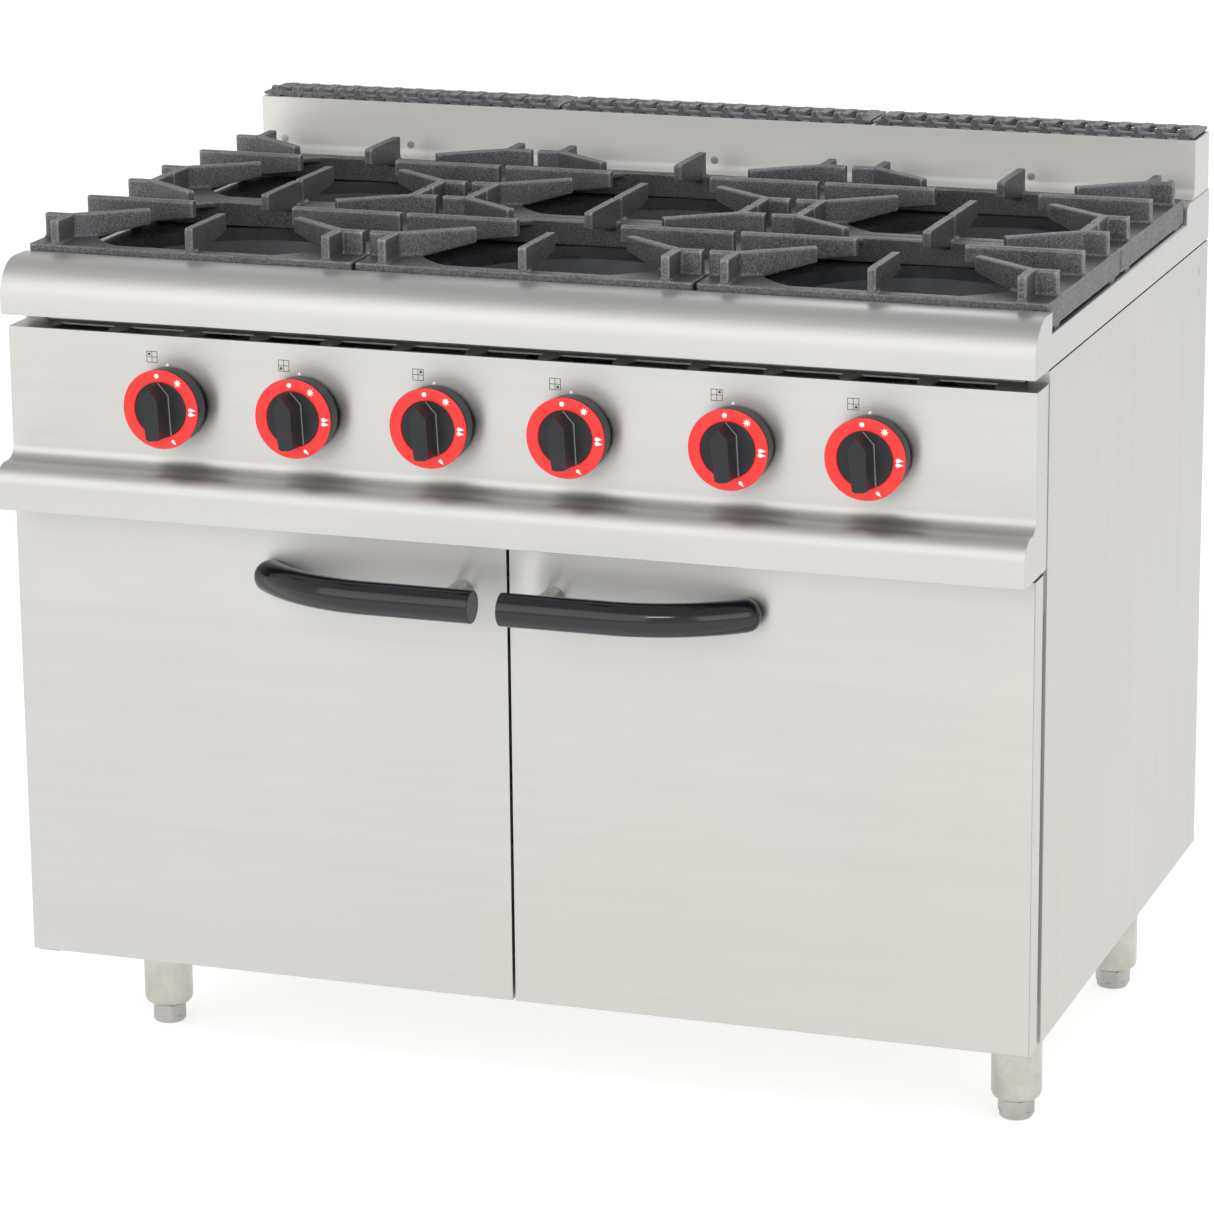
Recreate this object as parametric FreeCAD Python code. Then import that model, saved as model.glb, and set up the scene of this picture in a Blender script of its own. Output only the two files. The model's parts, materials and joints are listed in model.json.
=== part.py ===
"""Commercial gas range: six open burners on a cabinet with two side-hinged doors.

Every sub-part is written to parts/NODE.step. Millimetres, +Z up. The origin is on the floor,
below the centre of the whole range. +X is to the right of a person facing the doors, and
+Y points to the back.
"""
import FreeCAD, Part
import math
import os
from FreeCAD import Vector

os.makedirs("parts", exist_ok=True)

# ---------------------------------------------------------------- driving dimensions
WIDTH = 1050.0            # over the side panels
BODY_DEPTH = 670.0        # side panels, front edge to back
FACE_PROUD = 42.0         # door and control panel face, in front of the side panels
HANDLE_REACH = 76.0       # front of the handle bar, from the door face
INLET_REACH = 30.0        # gas inlet nipple, behind the back panel
SHEET = 1.5               # stainless sheet thickness
THIN_SHEET = 1.2          # door liners, drip pans and duct
FIT_GAP = 0.05            # radial running clearance
SEAM = 1.5                # open seam between neighbouring outer panels

BODY_BOTTOM = 135.0       # underside of doors and side panels
FLOOR_TOP = 162.5         # top of the cabinet floor
DOOR_TOP = 605.0
LIP_BOTTOM = 608.0        # underside of the control panel's lower lip
SHIELD_TOP = 612.5
PANEL_TOP = 786.0         # top of the control panel
HOB_BOTTOM = 800.0        # lower edge of the hob's lip and side band
RAIL_TOP = 832.0          # hob rails that the grates stand on
LIP_TOP = 853.0           # top of the hob's front lip and rear ledge
GRATE_TOP = 860.0         # top of the grate's plate
FIN_TOP = 884.0           # top of the pan-support fins
GUARD_TOP = 914.0
GRILLE_TOP = 926.0        # highest point of the range

HALF = WIDTH / 2
INSIDE = HALF - SHEET                                  # inner face of the side panels
FRONT_Y = (FACE_PROUD + HANDLE_REACH - BODY_DEPTH - INLET_REACH) / 2
BACK_Y = FRONT_Y + BODY_DEPTH
FACE_Y = FRONT_Y - FACE_PROUD                          # door and control panel face

# hob and grates
HOB_LIP_PROUD = 56.0      # front of the hob lip, in front of the side panels
HOB_LIP_RADIUS = 36.0
COLUMN_PITCH = 349.0
COLUMN_X = {"left": -COLUMN_PITCH, "centre": 0.0, "right": COLUMN_PITCH}
GRATE_WIDTH = 346.0
GRATE_DEPTH = 278.0
GRATE_SEAM = 3.0
GRATE_FRONT = FRONT_Y + 6.0
GRATE_Y = {"front": GRATE_FRONT + GRATE_DEPTH / 2,
           "rear": GRATE_FRONT + GRATE_DEPTH * 1.5 + GRATE_SEAM}
GRATE_HOLE_R = 150.0      # opening, cut off straight at the front and rear rims
GRATE_RIM = 14.0
FIN_THICK = 9.0
LEDGE_Y = FRONT_Y + 568.0                              # front of the raised rear ledge
GUARD_Y = FRONT_Y + 605.0                              # front face of the back guard

# control panel
LIP_PROUD = 40.0          # lower lip, in front of the panel face
LIP_CONCAVE_R = 14.0
LIP_CONVEX_R = 20.0
LIP_BAND = 25.0           # upright band at the foot of the lip
VENT_COUNT = 13
VENT_PITCH = 75.0
VENT_LENGTH = 66.0        # along its front edge
VENT_DEPTH = 26.0
VENT_SLANT = (4.5, 12.0)  # each end of a vent leans in this far, over this depth
VENT_INSET = 3.5          # front edge of the vents, behind the panel face

# knobs and gas taps
KNOB_X = (-350.0, -210.0, -70.0, 70.0, 232.0, 366.0)
KNOB_Z = 718.0
KNOB_R = 39.6
KNOB_FACE = 27.0          # front of the dial ring, in front of the panel
DIAL_INNER_R = 27.3
KNOB_TWIST = 5.0          # off position of the grip bar, anticlockwise from upright
SPINDLE_R = 4.0
MANIFOLD_R = 16.85        # one-inch pipe
PIPE_BORE_R = 10.0
MANIFOLD_Y = FACE_Y + 62.0
SUPPLY_X = 440.0          # pipe that runs back to the inlet
COUPLING_R = 19.85
NIPPLE_R = 13.2           # three-quarter-inch pipe thread, over its crests

# doors and handles
DOOR_THICK = 30.0
DOOR_GAP = 3.0
HINGE_INSET = 14.0        # pin, from the side of the range
HINGE_DEPTH = 16.0        # pin, behind the door face
PIN_R = 4.0
HANDLE_Z = 554.0
HANDLE_R = 16.5
HANDLE_LENGTH = 230.0     # across, to the centre of its round outer tip
HANDLE_START = 14.5       # straight end of the bar, from the middle of the range
HANDLE_STRAIGHT = 108.0   # straight part, before the bow
HANDLE_TIP_DEPTH = 11.0   # centre of the outer tip, in front of the door face
POST_R = 10.0
POST_X = 47.0

# feet
FOOT_X = 463.0
FOOT_Y = {"front": FRONT_Y + 150.0, "rear": FRONT_Y + 560.0}
FOOT_R = 25.5
ADJUSTER_R = 19.0
ADJUSTER_TOP = 20.0
STUD_R = 6.0


# ---------------------------------------------------------------- shape helpers
def box(x0, x1, y0, y1, z0, z1):
    """Box between two corners."""
    return Part.makeBox(x1 - x0, y1 - y0, z1 - z0, Vector(x0, y0, z0))


def rod(radius, start, end):
    """Round bar between two points."""
    start, end = Vector(*start), Vector(*end)
    return Part.makeCylinder(radius, (end - start).Length, start, end - start)


def fuse(shapes):
    """One solid from shapes that touch or overlap."""
    result = shapes[0].multiFuse(shapes[1:]) if len(shapes) > 1 else shapes[0]
    return result.removeSplitter()


def pipe(points, radius):
    """Round pipe through the points, with ball elbows."""
    legs = [rod(radius, a, b) for a, b in zip(points, points[1:])]
    elbows = [Part.makeSphere(radius, Vector(*p)) for p in points[1:-1]]
    return fuse(legs + elbows)


def edges_through(points):
    """Straight and arc edges: a point written as (mid, end) is an arc through mid to end."""
    edges = []
    here = points[0]
    for item in points[1:]:
        if isinstance(item, tuple):
            edges.append(Part.Arc(here, item[0], item[1]).toShape())
            here = item[1]
        else:
            edges.append(Part.LineSegment(here, item).toShape())
            here = item
    return edges


def prism_x(points, x0, x1):
    """Prism along X from a closed outline of (y, z) points and (mid, end) arcs."""
    def place(p):
        return Vector(x0, p[0], p[1])

    outline = [tuple(place(q) for q in p) if isinstance(p[0], tuple) else place(p) for p in points]
    outline.append(outline[0])
    face = Part.Face(Part.Wire(edges_through(outline)))
    return face.extrude(Vector(x1 - x0, 0, 0))


def arc_to(centre, radius, start_deg, end_deg):
    """The (mid, end) pair of an arc of a (y, z) outline."""
    def at(angle):
        turn = math.radians(angle)
        return (centre[0] + radius * math.cos(turn), centre[1] + radius * math.sin(turn))

    return (at((start_deg + end_deg) / 2), at(end_deg))


def turned(profile, centre, axis=Vector(0, 0, 1)):
    """Solid of revolution: profile is a list of (radius, height) points along the axis."""
    points = [Vector(r, 0, h) for r, h in profile]
    face = Part.Face(Part.makePolygon(points + points[:1]))
    solid = face.revolve(Vector(0, 0, 0), Vector(0, 0, 1), 360)
    solid.Placement = FreeCAD.Placement(Vector(*centre), FreeCAD.Rotation(Vector(0, 0, 1), axis))
    return solid


def save(name, *solids):
    """Write one node, and stop if it isn't made of sound closed solids."""
    shape = solids[0] if len(solids) == 1 else Part.makeCompound(list(solids))
    if len(solids) == 1 and len(shape.Solids) == 1:
        shape = shape.Solids[0]
    if not shape.isValid() or len(shape.Solids) != len(solids):
        raise ValueError("%s: valid %s, %d solids" % (name, shape.isValid(), len(shape.Solids)))
    shape.exportStep("parts/%s.step" % name)


# ---------------------------------------------------------------- cabinet
SCREW_R = 2.0
SCREW_HEAD_R = 4.5
SCREW_HEAD = ((0, 0), (SCREW_HEAD_R, 0), (SCREW_HEAD_R, 1.2), (SCREW_HEAD_R - 1.5, 2.6), (0, 2.6))
SIDE_SCREW_Z = (190.0, 330.0, 470.0, 610.0, 750.0)
SIDE_SCREW_X = HALF - 12.0
FLANGE = 22.0


def back_screw_places():
    """Centres (x, z) of the screws that hold the back panel."""
    return [(side * SIDE_SCREW_X, z) for side in (-1, 1) for z in SIDE_SCREW_Z]


def back_screw_holes():
    """Clearance holes for the back panel's screws."""
    return [rod(SCREW_R + FIT_GAP, (x, BACK_Y - 6, z), (x, BACK_Y + 1, z)) for x, z in back_screw_places()]


def side_panel(side):
    """Outer side sheet with its front, rear and bottom flanges turned in."""
    top = HOB_BOTTOM - SEAM
    rear = BACK_Y - SHEET
    inner = side * (HALF - FLANGE)
    outer = side * HALF
    x0, x1 = min(inner, outer), max(inner, outer)
    skin = box(*sorted((side * INSIDE, outer)), FRONT_Y, rear, BODY_BOTTOM, top)
    front = box(x0, x1, FRONT_Y, FRONT_Y + SHEET, BODY_BOTTOM, top)
    back = box(x0, x1, rear - SHEET, rear, BODY_BOTTOM, top)
    bottom = box(x0, x1, FRONT_Y, rear, BODY_BOTTOM, BODY_BOTTOM + SHEET)
    return fuse([skin, front, back, bottom]).cut(Part.makeCompound(back_screw_holes()))


def back_panel():
    """Back sheet with two rows of vent slots and the gas pipe's hole."""
    sheet = box(-HALF + 2, HALF - 2, BACK_Y - SHEET, BACK_Y, BODY_BOTTOM + 2, HOB_BOTTOM - SEAM)
    slots = [box(x - 4, x + 4, BACK_Y - 5, BACK_Y + 1, z, z + 60)
             for z in (300.0, 640.0) for x in range(-340, 341, 40)]
    inlet = rod(COUPLING_R + 1, (SUPPLY_X, BACK_Y - 5, KNOB_Z), (SUPPLY_X, BACK_Y + 1, KNOB_Z))
    return sheet.cut(Part.makeCompound(slots + [inlet] + back_screw_holes()))


def cabinet_floor():
    """Shelf at the foot of the cabinet, with an upstand at each side and a front apron."""
    reach = INSIDE - 1
    plate = box(-reach, reach, FRONT_Y + 4, BACK_Y - 6, FLOOR_TOP - SHEET, FLOOR_TOP)
    apron = box(-reach, reach, FRONT_Y + 4, FRONT_Y + 4 + SHEET, BODY_BOTTOM + 3, FLOOR_TOP)
    rims = [box(*sorted((s * reach, s * (reach - SHEET))), FRONT_Y + 4, BACK_Y - 6, FLOOR_TOP - SHEET,
                FLOOR_TOP + 15) for s in (-1, 1)]
    return fuse([plate, apron] + rims)


def base_frame():
    """Welded frame of flat box tube with a plate for each foot."""
    bottom, top = BODY_BOTTOM + 2, FLOOR_TOP - SHEET - 0.5
    x, front, back = INSIDE - 0.5, FRONT_Y + 7, BACK_Y - 8
    rail = 30.0
    frame = box(-x, x, front, back, bottom, top).cut(
        box(-x + rail, x - rail, front + rail, back - rail, bottom - 1, top + 1))
    plates = [box(*sorted((s * (FOOT_X - 45), s * x)), y - 45, y + 45, bottom, bottom + 3)
              for s in (-1, 1) for y in FOOT_Y.values()]
    return fuse([frame] + plates)


def heat_shield():
    """Sheet between the cabinet and the burner box, with a front flange that the doors stop on."""
    reach = INSIDE - 1
    plate = box(-reach, reach, FRONT_Y + 4, BACK_Y - 6, SHIELD_TOP - SHEET, SHIELD_TOP)
    stop = box(-reach, reach, FRONT_Y + 4, FRONT_Y + 4 + SHEET, DOOR_TOP - 30, SHIELD_TOP)
    catches = [box(x - 20, x + 20, FRONT_Y - 6, FRONT_Y + 4, DOOR_TOP - 24, DOOR_TOP - 10)
               for x in (-60, 60)]
    return fuse([plate, stop] + catches)


def fasteners():
    """Pan-head screws of the back panel."""
    return [fuse([rod(SCREW_R, (x, BACK_Y - 5, z), (x, BACK_Y, z)),
                  turned(SCREW_HEAD, (x, BACK_Y, z), Vector(0, 1, 0))])
            for x, z in back_screw_places()]


# ---------------------------------------------------------------- hob, guard and flue
WELL_HALF = 158.0
WELL_FRONT = FRONT_Y + 10.0
WELL_BACK = FRONT_Y + 561.0
DUCT_X = 500.0
DUCT_FRONT = GUARD_Y + 5.0
DUCT_BACK = BACK_Y - 6.0
DUCT_BOTTOM = 745.0
LEDGE_RADIUS = 8.0
GUARD_FOOT = 12.0         # foot flange of the guard, in front of its face
GUARD_FOOT_RADIUS = 10.0


def rounded_step(front, back, top, radius, bottom):
    """(y, z) outline of a step with a round front edge."""
    centre = (front + radius, top - radius)
    round_edge = arc_to(centre, radius, 180, 90)
    return [(front, bottom), (front, centre[1]), round_edge, (back, top), (back, bottom)]


def lip_outline(inset, bottom):
    """(y, z) outline of the hob's front lip, moved in by inset, down to bottom."""
    return rounded_step(FRONT_Y - HOB_LIP_PROUD + inset, FRONT_Y + 4.0 - inset, LIP_TOP - inset,
                        HOB_LIP_RADIUS - inset, bottom)


def ledge_outline(inset, bottom):
    """(y, z) outline of the raised rear ledge, moved in by inset, down to bottom."""
    return rounded_step(LEDGE_Y + inset, BACK_Y - inset, LIP_TOP - inset, LEDGE_RADIUS - inset, bottom)


def hob_top():
    """Pressed top: round front lip, low side rails, raised rear ledge and three burner wells."""
    inner_x = INSIDE
    lower = HOB_BOTTOM + SHEET
    outside = fuse([prism_x(lip_outline(0, HOB_BOTTOM), -HALF, HALF),
                    box(-HALF, HALF, FRONT_Y, BACK_Y, HOB_BOTTOM, RAIL_TOP),
                    prism_x(ledge_outline(0, HOB_BOTTOM), -HALF, HALF)])
    hollow = fuse([prism_x(lip_outline(SHEET, lower), -inner_x, inner_x),
                   box(-inner_x, inner_x, FRONT_Y - 2, BACK_Y - SHEET, lower, RAIL_TOP - SHEET),
                   prism_x(ledge_outline(SHEET, lower), -inner_x, inner_x)])
    mouth = box(-inner_x + 8, inner_x - 8, FRONT_Y - HOB_LIP_PROUD + 10, BACK_Y - 10, HOB_BOTTOM - 1,
                lower + 1)
    wells = [box(x - WELL_HALF, x + WELL_HALF, WELL_FRONT, WELL_BACK, HOB_BOTTOM, LIP_TOP)
             for x in COLUMN_X.values()]
    flue = box(-DUCT_X - 2, DUCT_X + 2, DUCT_FRONT - 1, DUCT_BACK + 1, HOB_BOTTOM, LIP_TOP + 1)
    return outside.cut(Part.makeCompound([hollow])).cut(mouth).cut(Part.makeCompound(wells + [flue]))


PAN_HALF = 166.0
PAN_HOLE_R = 131.0
BOWL_FLANGE_R = 136.0
BOWL_HOLE_R = 30.0


def drip_pan(x):
    """Enamelled sheet over one well, with a round hole for each bowl."""
    pan = box(x - PAN_HALF, x + PAN_HALF, WELL_FRONT - 4, WELL_BACK + 4, RAIL_TOP, RAIL_TOP + THIN_SHEET)
    holes = [rod(PAN_HOLE_R, (x, y, RAIL_TOP - 1), (x, y, RAIL_TOP + 3)) for y in GRATE_Y.values()]
    return pan.cut(Part.makeCompound(holes))


def drip_bowl(x, y):
    """Deep bowl round a burner: its flange rests on the pan, and the burner's neck stands in its hole."""
    under, over = THIN_SHEET, 2 * THIN_SHEET
    return turned([(BOWL_FLANGE_R, under), (BOWL_FLANGE_R, over), (129.3, over), (128.3, -10), (111, -39.6),
                   (84.4, -60.8), (BOWL_HOLE_R, -60.8), (BOWL_HOLE_R, -62), (85, -62), (112, -40),
                   (129.5, -10), (130.5, under)], (x, y, RAIL_TOP))


def back_guard():
    """Flue housing behind the grates, open at its foot and top, with a foot flange and two cross bars."""
    x = HALF - 1
    rear = BACK_Y - SHEET
    foot_y = GUARD_Y - GUARD_FOOT
    foot_top = LIP_TOP + SHEET
    fillet = (GUARD_Y - GUARD_FOOT_RADIUS, foot_top + GUARD_FOOT_RADIUS)
    outline = [(foot_y, LIP_TOP), (foot_y, foot_top), (fillet[0], foot_top),
               arc_to(fillet, GUARD_FOOT_RADIUS, -90, 0), (GUARD_Y, GUARD_TOP), (rear, GUARD_TOP),
               (rear, LIP_TOP)]
    walls = prism_x(outline, -x, x).cut(
        box(-x + SHEET, x - SHEET, GUARD_Y + SHEET, rear - SHEET, LIP_TOP - 1, GUARD_TOP - SHEET))
    mouth = box(-x + 10, x - 10, GUARD_Y + 10, rear - 10, GUARD_TOP - 4, GUARD_TOP + 1)
    bars = [box(s * COLUMN_PITCH / 2 - 8, s * COLUMN_PITCH / 2 + 8, GUARD_Y + SHEET, rear - SHEET,
                GUARD_TOP - SHEET, GUARD_TOP) for s in (-1, 1)]
    return fuse([walls.cut(mouth)] + bars)


def flue_duct():
    """Rectangular duct that carries the burner gases up to the guard."""
    outer = box(-DUCT_X, DUCT_X, DUCT_FRONT, DUCT_BACK, DUCT_BOTTOM, LIP_TOP - 1)
    inner = box(-DUCT_X + THIN_SHEET, DUCT_X - THIN_SHEET, DUCT_FRONT + THIN_SHEET,
                DUCT_BACK - THIN_SHEET, DUCT_BOTTOM - 1, LIP_TOP)
    return outer.cut(inner)


GRILLE_TEETH = 14
GRILLE_LENGTH = 346.0
GRILLE_RAIL = (9.0, 3.5)  # width and height of the two long rails
GRILLE_END = 7.0          # width of the end rails
GRILLE_GAP = 2.0          # the rails stand this far above the guard, on the feet of the bars
TOOTH_FOOT = 6.0          # half widths of a bar at its foot and at its top
TOOTH_TOP = 3.0
TOOTH_LEVEL = 6.0         # a bar keeps its height this far back
TOOTH_RAMP = 30.0         # and has come down to the rails this far back


def flue_grille(x):
    """Cast grille: two rails joined by bars that rise to a row of teeth along the front."""
    front, back = GUARD_Y + 1.0, BACK_Y - SHEET - 1.0
    x0, x1 = x - GRILLE_LENGTH / 2, x + GRILLE_LENGTH / 2
    width, height = GRILLE_RAIL
    rail_bottom = GUARD_TOP + GRILLE_GAP
    rail_top = rail_bottom + height
    rails = [box(x0, x1, y, y + width, rail_bottom, rail_top) for y in (front, back - width)]
    rails += [box(a, a + GRILLE_END, front, back, rail_bottom, rail_top) for a in (x0, x1 - GRILLE_END)]
    section = ((-TOOTH_FOOT, GUARD_TOP), (TOOTH_FOOT, GUARD_TOP), (TOOTH_TOP, GRILLE_TOP),
               (-TOOTH_TOP, GRILLE_TOP))
    above = prism_x([(front + TOOTH_LEVEL, GRILLE_TOP + 1), (front + TOOTH_LEVEL, GRILLE_TOP),
                     (front + TOOTH_RAMP, rail_top + 0.5), (back + 1, rail_top + 0.5),
                     (back + 1, GRILLE_TOP + 1)], x0, x1)
    pitch = GRILLE_LENGTH / GRILLE_TEETH
    bars = []
    for tooth in range(GRILLE_TEETH):
        middle = x0 + (tooth + 0.5) * pitch
        outline = [Vector(middle + dx, front, z) for dx, z in section]
        bar = Part.Face(Part.makePolygon(outline + outline[:1])).extrude(Vector(0, back - front, 0))
        bars.append(bar.cut(above))
    return fuse(rails + bars)


# ---------------------------------------------------------------- grates
FIN_TIP = 54.0            # tips of the four straight fins, from the grate's centre
FIN_TIP_DEPTH = 17.0
FORK_X = 145.0            # where a corner fork's three arms meet, from the centre
FORK_Y = 99.0
FORK_TIP = (80.0, 50.0)
SKIRT = 6.0
GRATE_BOTTOM = RAIL_TOP + 3.0
GRATE_PLATE = 6.0         # thickness of the frame's corner webs
GRATE_CORNER = 4.0
FIN_ROOT = 4.0            # a fin is level this far out from the opening
PAD_INSET = 30.0          # feet of a grate, from its front and rear edges
PAD_HALF = 8.0


def fin(start, end, floor_start, floor_end):
    """Upright rib along a line in plan, its underside sloping between two heights."""
    ax, ay = start
    bx, by = end
    length = math.hypot(bx - ax, by - ay)
    across = Vector(-(by - ay) / length, (bx - ax) / length, 0) * FIN_THICK
    base = Vector(ax, ay, 0) - across * 0.5
    outline = [base + Vector(0, 0, floor_start), base + Vector(bx - ax, by - ay, floor_end),
               base + Vector(bx - ax, by - ay, FIN_TOP), base + Vector(0, 0, FIN_TOP)]
    return Part.Face(Part.makePolygon(outline + outline[:1])).extrude(across)


def grate(x, y):
    """Cast grate: skirted frame with a wide opening, four straight fins and four corner forks."""
    hx, hy = GRATE_WIDTH / 2, GRATE_DEPTH / 2
    plate_bottom = GRATE_TOP - GRATE_PLATE
    frame = box(-hx, hx, -hy, hy, GRATE_BOTTOM, GRATE_TOP)
    upright = [e for e in frame.Edges if abs(e.tangentAt(e.FirstParameter).z) > 0.9]
    frame = frame.makeFillet(GRATE_CORNER, upright)
    pocket = box(-hx + SKIRT, hx - SKIRT, -hy + GRATE_RIM, hy - GRATE_RIM, GRATE_BOTTOM - 1, plate_bottom)
    opening = rod(GRATE_HOLE_R, (0, 0, GRATE_BOTTOM - 1), (0, 0, GRATE_TOP + 1)).common(
        box(-hx, hx, -hy + GRATE_RIM, hy - GRATE_RIM, GRATE_BOTTOM - 1, GRATE_TOP + 1))
    frame = frame.cut(pocket).cut(opening)
    tip_floor = FIN_TOP - FIN_TIP_DEPTH
    edge = 2.0
    ribs = []
    for sign in (-1, 1):
        ribs.append(straight_fin((0, sign * (hy - edge)), (0, sign * FIN_TIP), plate_bottom, tip_floor))
        ribs.append(straight_fin((sign * (hx - edge), 0), (sign * FIN_TIP, 0), plate_bottom, tip_floor))
        for side in (-1, 1):
            fork = (side * FORK_X, sign * FORK_Y)
            ribs.append(fin((side * (hx - edge), fork[1]), fork, plate_bottom, plate_bottom))
            ribs.append(fin((fork[0], sign * (hy - edge)), fork, plate_bottom, plate_bottom))
            ribs.append(fin(fork, (side * FORK_TIP[0], sign * FORK_TIP[1]), plate_bottom, tip_floor + 2))
            ribs.append(rod(FIN_THICK / 2, fork + (plate_bottom,), fork + (FIN_TOP,)))
    pads = []
    for side in (-1, 1):
        for end in (-hy + PAD_INSET, hy - PAD_INSET):
            x0, x1 = sorted((side * hx, side * (hx - SKIRT)))
            pads.append(box(x0, x1, end - PAD_HALF, end + PAD_HALF, RAIL_TOP, GRATE_BOTTOM + 1))
    shape = fuse([frame] + ribs + pads)
    shape.translate(Vector(x, y, 0))
    return shape


def straight_fin(start, tip, plate_bottom, tip_floor):
    """Fin that is level over the frame, then tapers up to its tip over the opening."""
    rim = min(GRATE_HOLE_R, math.hypot(*start) - GRATE_RIM + 2.0) + FIN_ROOT
    reach = math.hypot(*tip)
    root = tuple(c / reach * rim for c in tip)
    return fuse([fin(start, root, plate_bottom, plate_bottom), fin(root, tip, plate_bottom, tip_floor)])


# ---------------------------------------------------------------- control panel
def panel_outline(inset, bottom):
    """(y, z) outline of the control panel: flat face, then an S-curve out to the lower lip."""
    face = FACE_Y + inset
    lip = FACE_Y - LIP_PROUD + inset
    concave = LIP_CONCAVE_R + inset
    convex = LIP_CONVEX_R - inset
    band_top = LIP_BOTTOM + LIP_BAND
    step = band_top + LIP_CONVEX_R - inset                  # level stretch between the two curves
    back = FRONT_Y + 2.0
    return [(lip, bottom), (lip, band_top), arc_to((lip + convex, band_top), convex, 180, 90),
            (face - concave, step), arc_to((face - concave, step + concave), concave, -90, 0),
            (face, PANEL_TOP - inset), (back, PANEL_TOP - inset), (back, bottom)]


def panel_vents():
    """Row of slots through the panel's top flange, their ends leaning in towards the back."""
    lean, lean_depth = VENT_SLANT
    front = FACE_Y + VENT_INSET
    half = VENT_LENGTH / 2
    corners = [(-half, 0), (half, 0), (half - lean, lean_depth), (half - lean, VENT_DEPTH),
               (lean - half, VENT_DEPTH), (lean - half, lean_depth)]
    slots = []
    for number in range(VENT_COUNT):
        x = (number - (VENT_COUNT - 1) / 2) * VENT_PITCH
        outline = [Vector(x + dx, front + dy, PANEL_TOP - 4) for dx, dy in corners]
        slots.append(Part.Face(Part.makePolygon(outline + outline[:1])).extrude(Vector(0, 0, 5)))
    return slots


def control_panel():
    """Folded panel: vented top flange, flat face for the knobs, rounded lower lip, closed ends."""
    width = HALF - 1.0
    outside = prism_x(panel_outline(0, LIP_BOTTOM), -width, width)
    inside = prism_x(panel_outline(SHEET, LIP_BOTTOM + SHEET), -width + SHEET, width - SHEET)
    rear = box(-width - 1, width + 1, FRONT_Y - 2, FRONT_Y + 3, LIP_BOTTOM - 1, PANEL_TOP - SHEET)
    under = box(-width + 8, width - 8, FACE_Y - LIP_PROUD + 18, FRONT_Y + 3, LIP_BOTTOM - 1, LIP_BOTTOM + 3)
    holes = [rod(7, (x, FACE_Y - 2, KNOB_Z), (x, FACE_Y + 4, KNOB_Z)) for x in KNOB_X]
    upturn = box(-width + 24, width - 24, FRONT_Y + 0.5, FRONT_Y + 2, PANEL_TOP - SHEET, HOB_BOTTOM - 0.5)
    notches = []
    for side in (-1, 1):
        x0, x1 = sorted((side * (HALF - FLANGE - 0.5), side * HALF))
        notches.append(box(x0, x1, FRONT_Y - 0.3, FRONT_Y + 3, PANEL_TOP - 4, PANEL_TOP + 1))
    shell = fuse([outside.cut(inside).cut(rear), upturn])
    return shell.cut(Part.makeCompound([under] + panel_vents() + holes + notches))


# ---------------------------------------------------------------- knobs and taps
SKIRT_BACK = 5.0          # rear rim of the knob's skirt, in front of the panel
BAR_REACH = 51.0          # front of the grip bar, in front of the panel
GRIP_OUTLINE = ((-9, 14), (0, 27), (9, 14), (7.5, -25.5), (5, -26.5), (-5, -26.5), (-7.5, -25.5))
HUB_R = 9.0
SPINDLE_TIP = 26.0        # front end of the spindle, in front of the panel
TAP_R = 14.0


def spindle_section(radius, x, y_front, y_back):
    """Round shaft with one flat, along Y."""
    shaft = rod(radius, (x, y_front, KNOB_Z), (x, y_back, KNOB_Z))
    flat = SPINDLE_R - 1.2 + (radius - SPINDLE_R)
    return shaft.cut(box(x - 9, x + 9, y_front - 1, y_back + 1, KNOB_Z + flat, KNOB_Z + 12))


def knob_grip(x):
    """Moulded knob: hollow flared skirt, face disc, hub and a pointed grip bar."""
    toward = Vector(0, -1, 0)
    origin = (x, FACE_Y, KNOB_Z)
    disc = DIAL_INNER_R - 0.1
    body = turned([(0, SKIRT_BACK + 14), (KNOB_R - 4.5, SKIRT_BACK + 14), (KNOB_R - 4, SKIRT_BACK),
                   (KNOB_R - 1.5, SKIRT_BACK), (KNOB_R - 0.8, KNOB_FACE - 4), (KNOB_R - 3, KNOB_FACE - 2.6),
                   (disc, KNOB_FACE - 2.6), (disc, KNOB_FACE - 0.6), (0, KNOB_FACE - 0.6)], origin, toward)
    hub = rod(HUB_R, (x, FACE_Y - SKIRT_BACK - 1, KNOB_Z), (x, FACE_Y - KNOB_FACE + 1, KNOB_Z))
    front, back = FACE_Y - BAR_REACH, FACE_Y - KNOB_FACE + 3
    turn = math.radians(KNOB_TWIST)
    outline = [Vector(x + dx * math.cos(turn) - dz * math.sin(turn), back,
                      KNOB_Z + dx * math.sin(turn) + dz * math.cos(turn)) for dx, dz in GRIP_OUTLINE]
    bar = Part.Face(Part.makePolygon(outline + outline[:1])).extrude(Vector(0, front - back, 0))
    bore = spindle_section(SPINDLE_R + FIT_GAP, x, FACE_Y - SPINDLE_TIP - 5, FACE_Y)
    return fuse([body, hub, bar]).cut(bore)


def knob_dial(x):
    """Coloured ring round the knob's face."""
    section = [(DIAL_INNER_R, KNOB_FACE - 2.4), (KNOB_R - 1, KNOB_FACE - 2.4), (KNOB_R, KNOB_FACE - 1.6),
               (KNOB_R, KNOB_FACE - 0.6), (KNOB_R - 0.8, KNOB_FACE), (DIAL_INNER_R, KNOB_FACE)]
    return turned(section, (x, FACE_Y, KNOB_Z), Vector(0, -1, 0))


def valve_spindle(x):
    """Tap spindle: flatted shaft into the knob, with the turning plug at its rear end."""
    shaft = spindle_section(SPINDLE_R, x, FACE_Y - SPINDLE_TIP, FACE_Y + 12)
    plug = rod(7, (x, FACE_Y + 12, KNOB_Z), (x, FACE_Y + 34, KNOB_Z))
    return fuse([shaft, plug])


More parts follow.
